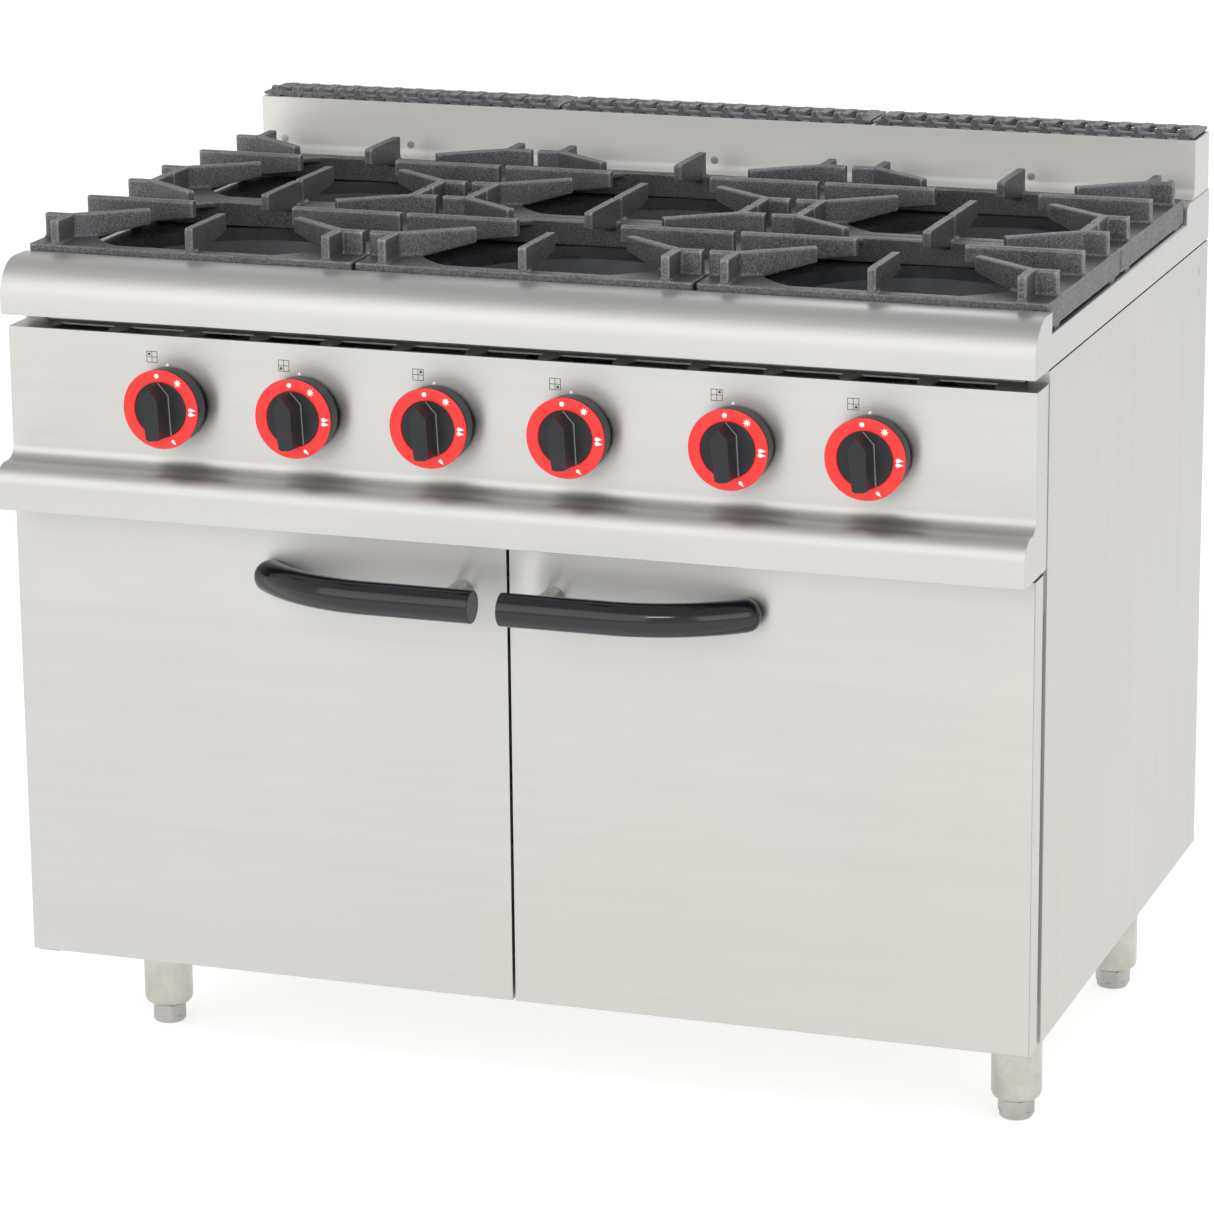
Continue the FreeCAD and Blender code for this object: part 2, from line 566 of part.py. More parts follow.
def valve_body(x):
    """Tap body on the manifold, bored for its plug, with an outlet on top."""
    body = fuse([rod(TAP_R, (x, FACE_Y + 9, KNOB_Z), (x, MANIFOLD_Y - 8, KNOB_Z)),
                 box(x - 11, x + 11, FACE_Y + 14, MANIFOLD_Y - 6, KNOB_Z - 12, KNOB_Z + 12),
                 rod(6, (x, FACE_Y + 24, KNOB_Z), (x, FACE_Y + 24, KNOB_Z + 20))])
    hollow = fuse([rod(SPINDLE_R + 1, (x, FACE_Y + 6, KNOB_Z), (x, FACE_Y + 13, KNOB_Z)),
                   rod(7 + FIT_GAP, (x, FACE_Y + 11.9, KNOB_Z), (x, FACE_Y + 35, KNOB_Z))])
    pipe_clear = rod(MANIFOLD_R + FIT_GAP, (x - 30, MANIFOLD_Y, KNOB_Z), (x + 30, MANIFOLD_Y, KNOB_Z))
    return body.cut(hollow).cut(pipe_clear)


def gas_manifold():
    """Pipe behind the taps, its supply leg to the back and the threaded inlet nipple."""
    route = [(-480, MANIFOLD_Y, KNOB_Z), (SUPPLY_X, MANIFOLD_Y, KNOB_Z), (SUPPLY_X, BACK_Y, KNOB_Z)]
    tail = (SUPPLY_X, BACK_Y + INLET_REACH, KNOB_Z)
    coupling = rod(COUPLING_R, (SUPPLY_X, BACK_Y - 30, KNOB_Z), route[-1])
    bore = pipe([(-470, MANIFOLD_Y, KNOB_Z), route[1], (SUPPLY_X, tail[1] + 1, KNOB_Z)], PIPE_BORE_R)
    return fuse([pipe(route, MANIFOLD_R), coupling, rod(NIPPLE_R, route[-1], tail)]).cut(bore)


# ---------------------------------------------------------------- burners
TUBE_R = 14.0
TUBE_Z = 735.0
TUBE_OFFSET = 38.0
TUBE_MOUTH = FACE_Y + 118.0
HEAD_BASE = 790.0
CAP_BASE = HEAD_BASE + 12.0


def burners():
    """(knob x, burner x, burner y, tube x) of each burner, from left to right along the knobs."""
    rows = []
    for number, knob_x in enumerate(KNOB_X):
        centre = list(COLUMN_X.values())[number // 2]
        row, side = (("rear", -1), ("front", 1))[number % 2]
        rows.append((knob_x, centre, GRATE_Y[row], centre + side * TUBE_OFFSET))
    return rows


def burner_casting(x, y, tube_x):
    """Burner head on its neck, with the mixing tube that runs to the front."""
    section = [(10, 0), (34, -2), (46, 6), (48, 18), (42, 18), (42, 8), (30, 4), (10, 4)]
    head = turned(section, (x, y, HEAD_BASE))
    neck = rod(18, (x, y, TUBE_Z), (x, y, HEAD_BASE + 3))
    tube = pipe([(x, y, TUBE_Z), (tube_x, y, TUBE_Z), (tube_x, TUBE_MOUTH, TUBE_Z)], TUBE_R)
    mouth = rod(TUBE_R + 4, (tube_x, TUBE_MOUTH, TUBE_Z), (tube_x, TUBE_MOUTH + 12, TUBE_Z))
    bore = rod(10, (tube_x, TUBE_MOUTH - 1, TUBE_Z), (tube_x, TUBE_MOUTH + 60, TUBE_Z))
    return fuse([head, neck, tube, mouth]).cut(bore)


def burner_cap(x, y):
    """Loose burner cap with a ring of flame ports under its rim."""
    cap = turned([(0, 0), (41.5, 0), (41.5, 6), (49, 6), (49, 9), (40, 12), (14, 12), (10, 9.5), (0, 9.5)],
                 (x, y, CAP_BASE))
    ports = []
    for number in range(24):
        port = box(36, 44, -1.1, 1.1, -1, 3)
        port.rotate(Vector(0, 0, 0), Vector(0, 0, 1), number * 15)
        port.translate(Vector(x, y, CAP_BASE))
        ports.append(port)
    return cap.cut(Part.makeCompound(ports))


INJECTOR_BACK = TUBE_MOUTH - 10.0


def feed_pipe(knob_x, tube_x):
    """Small pipe from a tap's outlet, over the manifold, to the injector."""
    over = MANIFOLD_Y + 36
    crest = KNOB_Z + 37
    start = (knob_x, FACE_Y + 24, KNOB_Z + 20.2)
    end = (tube_x, INJECTOR_BACK - FIT_GAP, TUBE_Z)
    return pipe([start, (knob_x, FACE_Y + 24, crest), (knob_x, over, crest), (tube_x, over, crest),
                 (tube_x, over, TUBE_Z), end], 4)


def injector(tube_x):
    """Brass injector that blows gas into a mixing tube's mouth."""
    body = rod(7, (tube_x, INJECTOR_BACK, TUBE_Z), (tube_x, TUBE_MOUTH + 8, TUBE_Z))
    return body.cut(rod(1, (tube_x, INJECTOR_BACK - 1, TUBE_Z), (tube_x, TUBE_MOUTH + 9, TUBE_Z)))


# ---------------------------------------------------------------- doors
def door_bounds(side):
    """Lowest and highest x of a door; side is -1 for the left and 1 for the right."""
    return sorted((side * DOOR_GAP / 2, side * (HALF - 1)))


def door_shell(side):
    """Outer door sheet with folded edges, bored top and bottom for the hinge pins."""
    x0, x1 = door_bounds(side)
    z0, z1 = BODY_BOTTOM + 1, DOOR_TOP
    back = FACE_Y + DOOR_THICK
    outer = box(x0, x1, FACE_Y, back, z0, z1)
    inner = box(x0 + SHEET, x1 - SHEET, FACE_Y + SHEET, back - SHEET, z0 + SHEET, z1 - SHEET)
    opening = box(x0 + 10, x1 - 10, back - 4, back + 1, z0 + 10, z1 - 10)
    pin_x, pin_y = side * (HALF - HINGE_INSET), FACE_Y + HINGE_DEPTH
    pins = rod(PIN_R + FIT_GAP, (pin_x, pin_y, z0 - 1), (pin_x, pin_y, z1 + 1))
    thread = rod(3, (side * POST_X, FACE_Y - 1, HANDLE_Z), (side * POST_X, FACE_Y + 3, HANDLE_Z))
    return outer.cut(inner).cut(opening).cut(pins).cut(thread)


def door_liner(side):
    """Inner door sheet: its rim fits inside the shell's folded edges."""
    x0, x1 = door_bounds(side)
    z0, z1 = BODY_BOTTOM + 1, DOOR_TOP
    back = FACE_Y + DOOR_THICK
    plate = box(x0 + 4, x1 - 4, back, back + THIN_SHEET, z0 + 4, z1 - 4)
    rim = box(x0 + 11, x1 - 11, back - 12, back + 0.5, z0 + 11, z1 - 11).cut(
        box(x0 + 12.2, x1 - 12.2, back - 13, back + 0.5, z0 + 12.2, z1 - 12.2))
    pin_x, pin_y = side * (HALF - HINGE_INSET), FACE_Y + HINGE_DEPTH
    notches = rod(PIN_R + 2, (pin_x, pin_y, z0), (pin_x, pin_y, z1))
    return fuse([plate, rim]).cut(notches)


def door_handle(side):
    """Moulded bow handle: straight bar by the middle, its outer end curving back to the door."""
    bar_y = FACE_Y - HANDLE_REACH + HANDLE_R
    rest_y = FACE_Y - HANDLE_TIP_DEPTH
    end = HANDLE_START + HANDLE_LENGTH
    drop = rest_y - bar_y
    start = Vector(side * HANDLE_START, bar_y, HANDLE_Z)
    bend_x = HANDLE_START + HANDLE_STRAIGHT
    bend = Vector(side * bend_x, bar_y, HANDLE_Z)
    run = end - bend_x
    radius = (run ** 2 + drop ** 2) / (2 * drop)
    turn = math.asin(run / radius)
    middle = Vector(side * (bend_x + radius * math.sin(turn / 2)),
                    bar_y + radius * (1 - math.cos(turn / 2)), HANDLE_Z)
    finish = Vector(side * end, rest_y, HANDLE_Z)
    path = Part.Wire([Part.LineSegment(start, bend).toShape(), Part.Arc(bend, middle, finish).toShape()])
    section = Part.Wire([Part.Circle(start, Vector(1, 0, 0), HANDLE_R).toShape()])
    bar = path.makePipeShell([section], True, False)
    tip = Part.makeSphere(HANDLE_R, finish)
    socket = rod(POST_R + FIT_GAP, (side * POST_X, bar_y, HANDLE_Z), (side * POST_X, FACE_Y, HANDLE_Z))
    behind_face = box(-HALF, HALF, FACE_Y, FACE_Y + 60, HANDLE_Z - 40, HANDLE_Z + 40)
    return fuse([Part.Solid(bar), tip]).cut(Part.makeCompound([socket])).cut(behind_face)


def handle_post(side):
    """Steel post that carries the straight end of the handle, with its screw stub."""
    bar_y = FACE_Y - HANDLE_REACH + HANDLE_R
    x = side * POST_X
    return fuse([rod(POST_R, (x, bar_y + FIT_GAP, HANDLE_Z), (x, FACE_Y, HANDLE_Z)),
                 rod(3 - FIT_GAP, (x, FACE_Y - 1, HANDLE_Z), (x, FACE_Y + 8, HANDLE_Z))])


def hinge_bracket(side, low):
    """Angle bracket on the side panel's front flange, with the pin that a door turns on."""
    pin_x, pin_y = side * (HALF - HINGE_INSET), FACE_Y + HINGE_DEPTH
    x0, x1 = sorted((side * (HALF - 27), side * (HALF - 4)))
    if low:
        plate_z = BODY_BOTTOM - 2.0
        tab = box(x0, x1, FRONT_Y - 2.5, FRONT_Y, plate_z, plate_z + 45)
        pin = rod(PIN_R, (pin_x, pin_y, plate_z), (pin_x, pin_y, plate_z + 20))
    else:
        plate_z = DOOR_TOP + 0.5
        tab = box(x0, x1, FRONT_Y - 2.5, FRONT_Y, plate_z - 43, plate_z + 2)
        pin = rod(PIN_R, (pin_x, pin_y, plate_z - 17), (pin_x, pin_y, plate_z + 2))
    plate = box(x0, x1, FACE_Y + 6, FRONT_Y, plate_z, plate_z + 2)
    return fuse([plate, tab, pin])


# ---------------------------------------------------------------- feet
def foot_tube(x, y):
    """Foot leg: flanged tube with a rounded, threaded lower end."""
    top = BODY_BOTTOM + 2
    bore = FOOT_R - 2
    thread = STUD_R + FIT_GAP
    flange = FOOT_R + 9
    plug_top = ADJUSTER_TOP + 22
    rounded_end = [(FOOT_R - 8, ADJUSTER_TOP), (FOOT_R - 4, ADJUSTER_TOP + 1.2),
                   (FOOT_R - 1.2, ADJUSTER_TOP + 4), (FOOT_R, ADJUSTER_TOP + 8)]
    section = [(bore, top), (bore, plug_top), (thread, plug_top), (thread, ADJUSTER_TOP)]
    section += rounded_end + [(FOOT_R, top - 3), (flange, top - 3), (flange, top)]
    return turned(section, (x, y, 0))


def foot_adjuster(x, y):
    """Screw-in foot: six-sided grip on a round pad, with its stud."""
    pad = turned([(0, 0), (15.5, 0), (17, 2), (17, 7), (0, 7)], (x, y, 0))
    turns = [math.radians(60 * number) for number in range(6)]
    corners = [Vector(x + ADJUSTER_R * math.cos(t), y + ADJUSTER_R * math.sin(t), 5) for t in turns]
    grip = Part.Face(Part.makePolygon(corners + corners[:1])).extrude(Vector(0, 0, ADJUSTER_TOP - 5.3))
    stud = rod(STUD_R, (x, y, 2), (x, y, ADJUSTER_TOP + 60))
    return fuse([pad, grip, stud])


# ---------------------------------------------------------------- write every node
def write_cabinet():
    """Body panels, frame, feet and screws."""
    save("left_side_panel", side_panel(-1))
    save("right_side_panel", side_panel(1))
    save("back_panel", back_panel())
    save("cabinet_floor", cabinet_floor())
    save("base_frame", base_frame())
    save("heat_shield", heat_shield())
    save("fasteners", *fasteners())
    save("foot_tubes", *[foot_tube(s * FOOT_X, y) for y in FOOT_Y.values() for s in (-1, 1)])
    for row, y in FOOT_Y.items():
        for side, name in ((-1, "left"), (1, "right")):
            save("foot_adjuster_%s_%s" % (row, name), foot_adjuster(side * FOOT_X, y))


def write_hob():
    """Hob, wells, grates, guard and flue."""
    save("hob_top", hob_top())
    save("back_guard", back_guard())
    save("flue_duct", flue_duct())
    save("drip_pans", *[drip_pan(x) for x in COLUMN_X.values()])
    save("drip_bowls", *[drip_bowl(x, y) for x in COLUMN_X.values() for y in GRATE_Y.values()])
    for column, x in COLUMN_X.items():
        save("flue_grille_%s" % column, flue_grille(x))
        for row, y in GRATE_Y.items():
            save("grate_%s_%s" % (column, row), grate(x, y))


def write_gas():
    """Control panel, knobs, taps, pipes and burners."""
    save("control_panel", control_panel())
    save("gas_manifold", gas_manifold())
    save("valve_bodies", *[valve_body(x) for x in KNOB_X])
    for number, x in enumerate(KNOB_X, 1):
        save("knob_grip_%d" % number, knob_grip(x))
        save("knob_dial_%d" % number, knob_dial(x))
        save("valve_spindle_%d" % number, valve_spindle(x))
    save("burner_castings", *[burner_casting(x, y, tube) for _, x, y, tube in burners()])
    save("burner_caps", *[burner_cap(x, y) for _, x, y, _ in burners()])
    save("gas_feed_pipes", *[feed_pipe(knob, tube) for knob, _, _, tube in burners()])
    save("gas_injectors", *[injector(tube) for _, _, _, tube in burners()])


def write_doors():
    """Doors, handles and hinges."""
    for side, name in ((-1, "left"), (1, "right")):
        save("door_shell_%s" % name, door_shell(side))
        save("door_liner_%s" % name, door_liner(side))
        save("door_handle_%s" % name, door_handle(side))
        save("handle_post_%s" % name, handle_post(side))
    save("hinge_brackets", *[hinge_bracket(side, low) for side in (-1, 1) for low in (True, False)])


write_cabinet()
write_hob()
write_gas()
write_doors()
print("nodes written:", len(os.listdir("parts")))
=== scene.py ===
import json
import math

import bmesh
import bpy
from mathutils import Matrix, Vector, noise

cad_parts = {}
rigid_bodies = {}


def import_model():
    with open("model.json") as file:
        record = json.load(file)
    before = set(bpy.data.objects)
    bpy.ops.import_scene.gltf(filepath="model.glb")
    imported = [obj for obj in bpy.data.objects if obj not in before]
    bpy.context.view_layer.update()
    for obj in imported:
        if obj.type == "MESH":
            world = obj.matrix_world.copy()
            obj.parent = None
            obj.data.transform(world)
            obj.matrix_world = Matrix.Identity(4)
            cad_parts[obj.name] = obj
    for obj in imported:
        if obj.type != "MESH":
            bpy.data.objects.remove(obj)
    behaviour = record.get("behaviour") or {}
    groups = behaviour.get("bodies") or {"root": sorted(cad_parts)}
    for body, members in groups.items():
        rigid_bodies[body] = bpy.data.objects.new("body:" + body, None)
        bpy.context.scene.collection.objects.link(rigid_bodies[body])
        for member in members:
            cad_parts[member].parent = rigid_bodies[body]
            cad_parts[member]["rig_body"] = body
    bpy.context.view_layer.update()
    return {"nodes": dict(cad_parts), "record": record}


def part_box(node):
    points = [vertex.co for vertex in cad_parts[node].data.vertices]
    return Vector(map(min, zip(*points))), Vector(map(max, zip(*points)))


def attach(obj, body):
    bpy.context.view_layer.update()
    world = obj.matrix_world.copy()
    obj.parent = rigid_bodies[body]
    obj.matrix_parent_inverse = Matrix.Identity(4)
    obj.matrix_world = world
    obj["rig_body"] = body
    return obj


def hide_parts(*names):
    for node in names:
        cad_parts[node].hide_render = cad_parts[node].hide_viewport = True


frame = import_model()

# Looks of a six-burner commercial gas range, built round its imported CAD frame. Metres, +Z up, +Y to the back.
# Edges, castings, knobs, handles, printed marks and every finish are made here.

MM = 0.001
SLOTS = {row["node"]: row["material_slot"] for row in frame["record"]["subparts"]}
SIDES = {"left": -1, "right": 1}
COLUMNS = ("left", "centre", "right")
ROWS = ("front", "rear")
KNOBS = (1, 2, 3, 4, 5, 6)

# ---------------------------------------------------------------- sizes, in millimetres
WELD = 0.02                  # split vertices of a CAD mesh closer than this are one vertex
FLAT_ANGLE = 0.4             # faces that turn by less than this many degrees are one face
EDGE_ANGLE = 32.0            # an edge is rounded where it turns by more than this many degrees
SHEET_EDGE = 0.7             # rounded edge of folded sheet
FOLD_AREA = 300.0            # sheet is rounded where both faces are larger than this, in square millimetres
TURNED_EDGE = 0.7            # rounded edge of feet and handle posts
BURNER_EDGE = 0.5
CAST_VOXEL = 1.3
GRILLE_VOXEL = 0.9
CAST_WAVE = 0.18             # unevenness of a cast face
WAVE_SCALE = 70.0            # waves of that unevenness, in cycles a metre

RING_FACE = 27.0             # front of the dial ring, in front of the panel
RING_OUTER = 39.6
RING_INNER = 27.3
KNOB_TWIST = 5.0             # the knobs rest turned this many degrees anticlockwise
BAR_REACH = 51.0
MARK_RADIUS = 33.4           # circle that the dial marks stand on
MARK_THICK = 0.15
MARK_SINK = 0.03             # panel marks start this far inside the panel
DOT_RADIUS = 1.35
DIAL_ANGLES = {"off": 0.0, "spark": 40.0, "high": 96.5, "low": 163.0}
LOW_FLAME_LEAN = -25.0       # its tip points this far off the radius

ICON_SIZE = 11.5
ICON_LINE = 0.55
ICON_UP = 46.0               # burner-position mark, above and left of a knob's centre
ICON_LEFT = 19.3
ICON_DOTS = ((-1, 1), (-1, -1), (1, 1), (1, -1), (1, 1), (1, -1))
INDEX_UP = 38.5
INDEX_LEFT = 3.0
INDEX_RADIUS = 1.6

HANDLE_RADIUS = 16.5
HANDLE_STRAIGHT = 108.0
HANDLE_END_DEPTH = 11.0      # centre line of the handle's outer end, in front of the door
HANDLE_FOOT_GAP = 4.0
HANDLE_STEPS = 44
HANDLE_STRAIGHT_SHARE = 0.3  # share of the steps in the straight stretch
HANDLE_TIP_STEPS = 8
HANDLE_TIP_REACH = 0.8       # length of the blunt tip, in bar radii
HANDLE_TIP_SIZE = 0.02       # smallest ring of the tip, as a share of the bar
HANDLE_TIP_POWER = 0.7       # at 1 the tip is an ellipse, and below that it is blunter
HANDLE_EDGE = 1.0
HANDLE_SIDES = 40

RIVET_RADIUS = 4.2
RIVET_HEIGHT = 0.3
RIVET_SINK = 0.1
GUARD_RIVET_X = (-498, -349, 0, 349, 498)
GUARD_RIVET_UP = 15.0        # above the guard's foot
GUARD_FOOT = 12.0            # the foot flange stands this far in front of the guard's face
SIDE_RIVET_DROPS = (27, 48)  # below the side panel's top
SIDE_RIVET_INSET = 38        # in front of the side panel's rear edge
SCREW_RADIUS = 4.5
SCREW_ROWS = 5
SCREW_TURN = 37              # each cross recess is turned this many degrees more than the last
CROSS_LENGTH = 4.4
CROSS_WIDTH = 0.9


# ---------------------------------------------------------------- finishes
class Finish:
    """One procedural material round a Principled shader."""

    def __init__(self, name, **inputs):
        self.material = bpy.data.materials.new(name)
        self.material.use_nodes = True
        self.tree = self.material.node_tree
        self.shader = next(n for n in self.tree.nodes if n.type == "BSDF_PRINCIPLED")
        self.place = self.node("ShaderNodeTexCoord").outputs["Object"]
        for key, value in inputs.items():
            self.give(key.replace("_", " "), value)

    def node(self, kind, inputs=(), **settings):
        """A new node with its settings, and its inputs set or linked."""
        made = self.tree.nodes.new(kind)
        for key, value in settings.items():
            setattr(made, key, value)
        for key, value in dict(inputs).items():
            self.feed(made.inputs[key], value)
        return made

    def feed(self, socket, value):
        """Link a socket, or set a plain value."""
        if isinstance(value, bpy.types.NodeSocket):
            self.tree.links.new(value, socket)
        else:
            socket.default_value = value

    def give(self, name, value):
        """Set or link an input of the shader."""
        if isinstance(value, tuple) and len(value) == 3 and name == "Base Color":
            value = value + (1.0,)
        self.feed(self.shader.inputs[name], value)

    def stretched(self, scale):
        """Object coordinates scaled along each axis, in cycles a metre."""
        return self.node("ShaderNodeVectorMath", {0: self.place, 1: scale}, operation="MULTIPLY").outputs[0]

    def scatter(self):
        """Object coordinates shifted by each object's own random number."""
        info = self.node("ShaderNodeObjectInfo")
        shift = self.node("ShaderNodeVectorMath", {0: info.outputs["Random"], 1: (7.0, 5.0, 3.0)},
                          operation="MULTIPLY").outputs[0]
        self.place = self.node("ShaderNodeVectorMath", {0: self.place, 1: shift}).outputs[0]

    def noise(self, scale, detail=2.0, roughness=0.5):
        """Noise from 0 to 1; scale is one number, or one for each axis."""
        if isinstance(scale, tuple):
            vector, scale = self.stretched(scale), 1.0
        else:
            vector = self.place
        return self.node("ShaderNodeTexNoise", {"Vector": vector, "Scale": scale, "Detail": detail,
                                                "Roughness": roughness}).outputs["Fac"]

    def remap(self, value, low, high, to_low, to_high):
        """Value carried from one range to another, held at its ends."""
        return self.node("ShaderNodeMapRange", {"Value": value, "From Min": low, "From Max": high,
                                                "To Min": to_low, "To Max": to_high}).outputs["Result"]

    def maths(self, operation, a, b):
        """One sum on two values."""
        return self.node("ShaderNodeMath", {0: a, 1: b}, operation=operation).outputs[0]

    def blend(self, factor, first, second):
        """Colour between two colours."""
        mix = self.node("ShaderNodeMix", data_type="RGBA")
        factor_in, first_in, second_in = mix.inputs[0], mix.inputs[6], mix.inputs[7]
        self.feed(factor_in, factor)
        self.feed(first_in, first + (1.0,) if isinstance(first, tuple) else first)
        self.feed(second_in, second + (1.0,) if isinstance(second, tuple) else second)
        return mix.outputs[2]

    def product(self, first, second):
        """Two colours multiplied."""
        return self.node("ShaderNodeVectorMath", {0: first, 1: second}, operation="MULTIPLY").outputs[0]

    def bump(self, height, depth, strength=1.0, under=None):
        """Surface relief; depth is in millimetres."""
        inputs = {"Height": height, "Distance": depth * MM, "Strength": strength}
        if under is not None:
            inputs["Normal"] = under
        return self.node("ShaderNodeBump", inputs).outputs["Normal"]


def scaled(colour, factor):
    """A colour made lighter or darker."""
    return tuple(min(1.0, c * factor) for c in colour)


def brushed_steel(name, grain, colour, roughness, cloud=0.05):
    """Brushed sheet: long fine scratches along the grain axis, soft clouds and a faint warm tint."""
    finish = Finish(name, Metallic=1.0)

    def streaks(along, across):
        return tuple(along if i == grain else across for i in range(3))

    fine = finish.noise(streaks(9.0, 1500.0), 3.0, 0.6)
    bands = finish.noise(streaks(1.2, 60.0), 3.0, 0.55)
    clouds = finish.noise(3.1, 3.0, 0.55)
    warmth = finish.noise(1.7, 2.0, 0.5)
    tone = finish.maths("ADD", finish.maths("MULTIPLY", fine, 0.4), finish.maths("MULTIPLY", bands, 0.6))
    streaks_share = finish.remap(tone, 0.3, 0.7, 0.0, 1.0)
    streaky = finish.blend(streaks_share, scaled(colour, 0.965), scaled(colour, 1.025))
    hazy = finish.blend(finish.remap(clouds, 0.3, 0.7, 0.0, 1.0), (1.0 - cloud,) * 3, (1.0, 1.0, 1.0))
    tinted = finish.blend(finish.remap(warmth, 0.4, 0.75, 0.0, 1.0), (1.0, 1.0, 1.0), (1.0, 0.975, 0.94))
    shaded = finish.product(finish.product(streaky, hazy), tinted)
    finish.give("Base Color", shaded)
    worn = finish.maths("ADD", finish.remap(fine, 0.25, 0.75, -0.03, 0.04),
                        finish.remap(clouds, 0.3, 0.7, -0.03, 0.03))
    finish.give("Roughness", finish.maths("ADD", worn, roughness))
    finish.give("Normal", finish.bump(fine, 0.03, 0.2))
    axis = [1.0 if i == grain else 0.0 for i in range(3)]
    direction = finish.node("ShaderNodeVectorTransform", {"Vector": axis}, vector_type="VECTOR",
                            convert_from="OBJECT", convert_to="WORLD").outputs[0]
    finish.give("Tangent", direction)
    finish.give("Anisotropic", 0.8)
    finish.give("Anisotropic Rotation", 0.25)
    return finish.material


def cast_iron(name, colour, worn_and_highlight_colour):
    """Sand-cast iron: pitted grain, faint blotches, and edges painted lighter by pointiness: partly rubbed
    wear, partly a painted highlight for the light that the edges catch.
    """
    finish = Finish(name, Metallic=0.5)
    finish.scatter()
    grain = finish.noise(620.0, 4.0, 0.65)
    pits = finish.noise(260.0, 2.0, 0.5)
    blotches = finish.noise(22.0, 4.0, 0.6)
    tone = finish.blend(finish.remap(blotches, 0.3, 0.7, 0.0, 1.0), scaled(colour, 0.75), scaled(colour, 1.3))
    speckled = finish.blend(finish.remap(grain, 0.42, 0.68, 0.0, 1.0), tone, scaled(colour, 3.0))
    edges = finish.node("ShaderNodeNewGeometry").outputs["Pointiness"]
    # edges painted lighter by pointiness: partly rubbed wear, partly a painted highlight for the light that the
    # edges catch
    rubbed_and_highlit_edges = finish.maths("MULTIPLY", finish.remap(edges, 0.51, 0.55, 0.0, 0.9),
                          finish.remap(blotches, 0.25, 0.6, 0.35, 1.0))
    finish.give("Base Color", finish.blend(rubbed_and_highlit_edges, speckled, worn_and_highlight_colour))
    finish.give("Roughness", finish.remap(pits, 0.3, 0.7, 0.38, 0.56))
    relief = finish.bump(pits, 0.35, 0.5)
    finish.give("Normal", finish.bump(grain, 0.22, 0.6, relief))
    return finish.material


def enamel(name, colour):
    """Smooth vitreous enamel with faint orange peel and a little dust."""
    finish = Finish(name, Metallic=0.0)
    peel = finish.noise(120.0, 2.0, 0.5)
    dust = finish.noise(38.0, 5.0, 0.65)
    dusty = finish.remap(dust, 0.45, 0.8, 0.0, 0.5)
    finish.give("Base Color", finish.blend(dusty, colour, scaled(colour, 1.8)))
    finish.give("Roughness", finish.remap(dust, 0.35, 0.7, 0.24, 0.38))
    finish.give("Normal", finish.bump(peel, 0.15, 0.25))
    return finish.material


def moulded_plastic(name, colour, roughness, texture=0.06, gloss=0.5):
    """Injection-moulded plastic: fine texture and faint handling marks."""
    finish = Finish(name, Metallic=0.0, Specular_IOR_Level=gloss)
    texture_noise = finish.noise(1500.0, 2.0, 0.5)
    marks = finish.noise(45.0, 4.0, 0.6)
    handled = finish.remap(marks, 0.3, 0.75, 0.0, 1.0)
    finish.give("Base Color", finish.blend(handled, colour, scaled(colour, 1.25)))
    finish.give("Roughness", finish.remap(marks, 0.3, 0.7, roughness * 0.85, roughness * 1.2))
    finish.give("Normal", finish.bump(texture_noise, texture, 0.3))
    return finish.material


def spangled_zinc(name, colour):
    """Galvanised sheet: crystal spangles of slightly different tone and gloss."""
    finish = Finish(name, Metallic=0.85)
    cells = finish.node("ShaderNodeTexVoronoi", {"Vector": finish.place, "Scale": 130.0}).outputs["Color"]
    value = finish.node("ShaderNodeSeparateColor", {"Color": cells}).outputs["Red"]
    dull = finish.noise(9.0, 4.0, 0.6)
    tone = finish.blend(value, scaled(colour, 0.86), scaled(colour, 1.08))
    dulled = finish.remap(dull, 0.35, 0.8, 0.0, 0.45)
    finish.give("Base Color", finish.blend(dulled, tone, scaled(colour, 0.7)))
    finish.give("Roughness", finish.remap(value, 0.0, 1.0, 0.34, 0.5))
    finish.give("Normal", finish.bump(dull, 0.3, 0.2))
    return finish.material


def plain_metal(name, colour, roughness, grain=(90.0, 90.0, 90.0)):
    """Turned, drawn or plated small metal parts: fine marks and a slightly uneven tarnish."""
    finish = Finish(name, Metallic=1.0)
    marks = finish.noise(tuple(8.0 * g for g in grain), 3.0, 0.6)
    tarnish = finish.noise(30.0, 4.0, 0.6)
    tarnished = finish.remap(tarnish, 0.3, 0.75, 0.0, 1.0)
    finish.give("Base Color", finish.blend(tarnished, colour, scaled(colour, 0.74)))
    finish.give("Roughness", finish.remap(marks, 0.3, 0.7, roughness * 0.8, roughness * 1.25))
    finish.give("Normal", finish.bump(marks, 0.06, 0.4))
    return finish.material


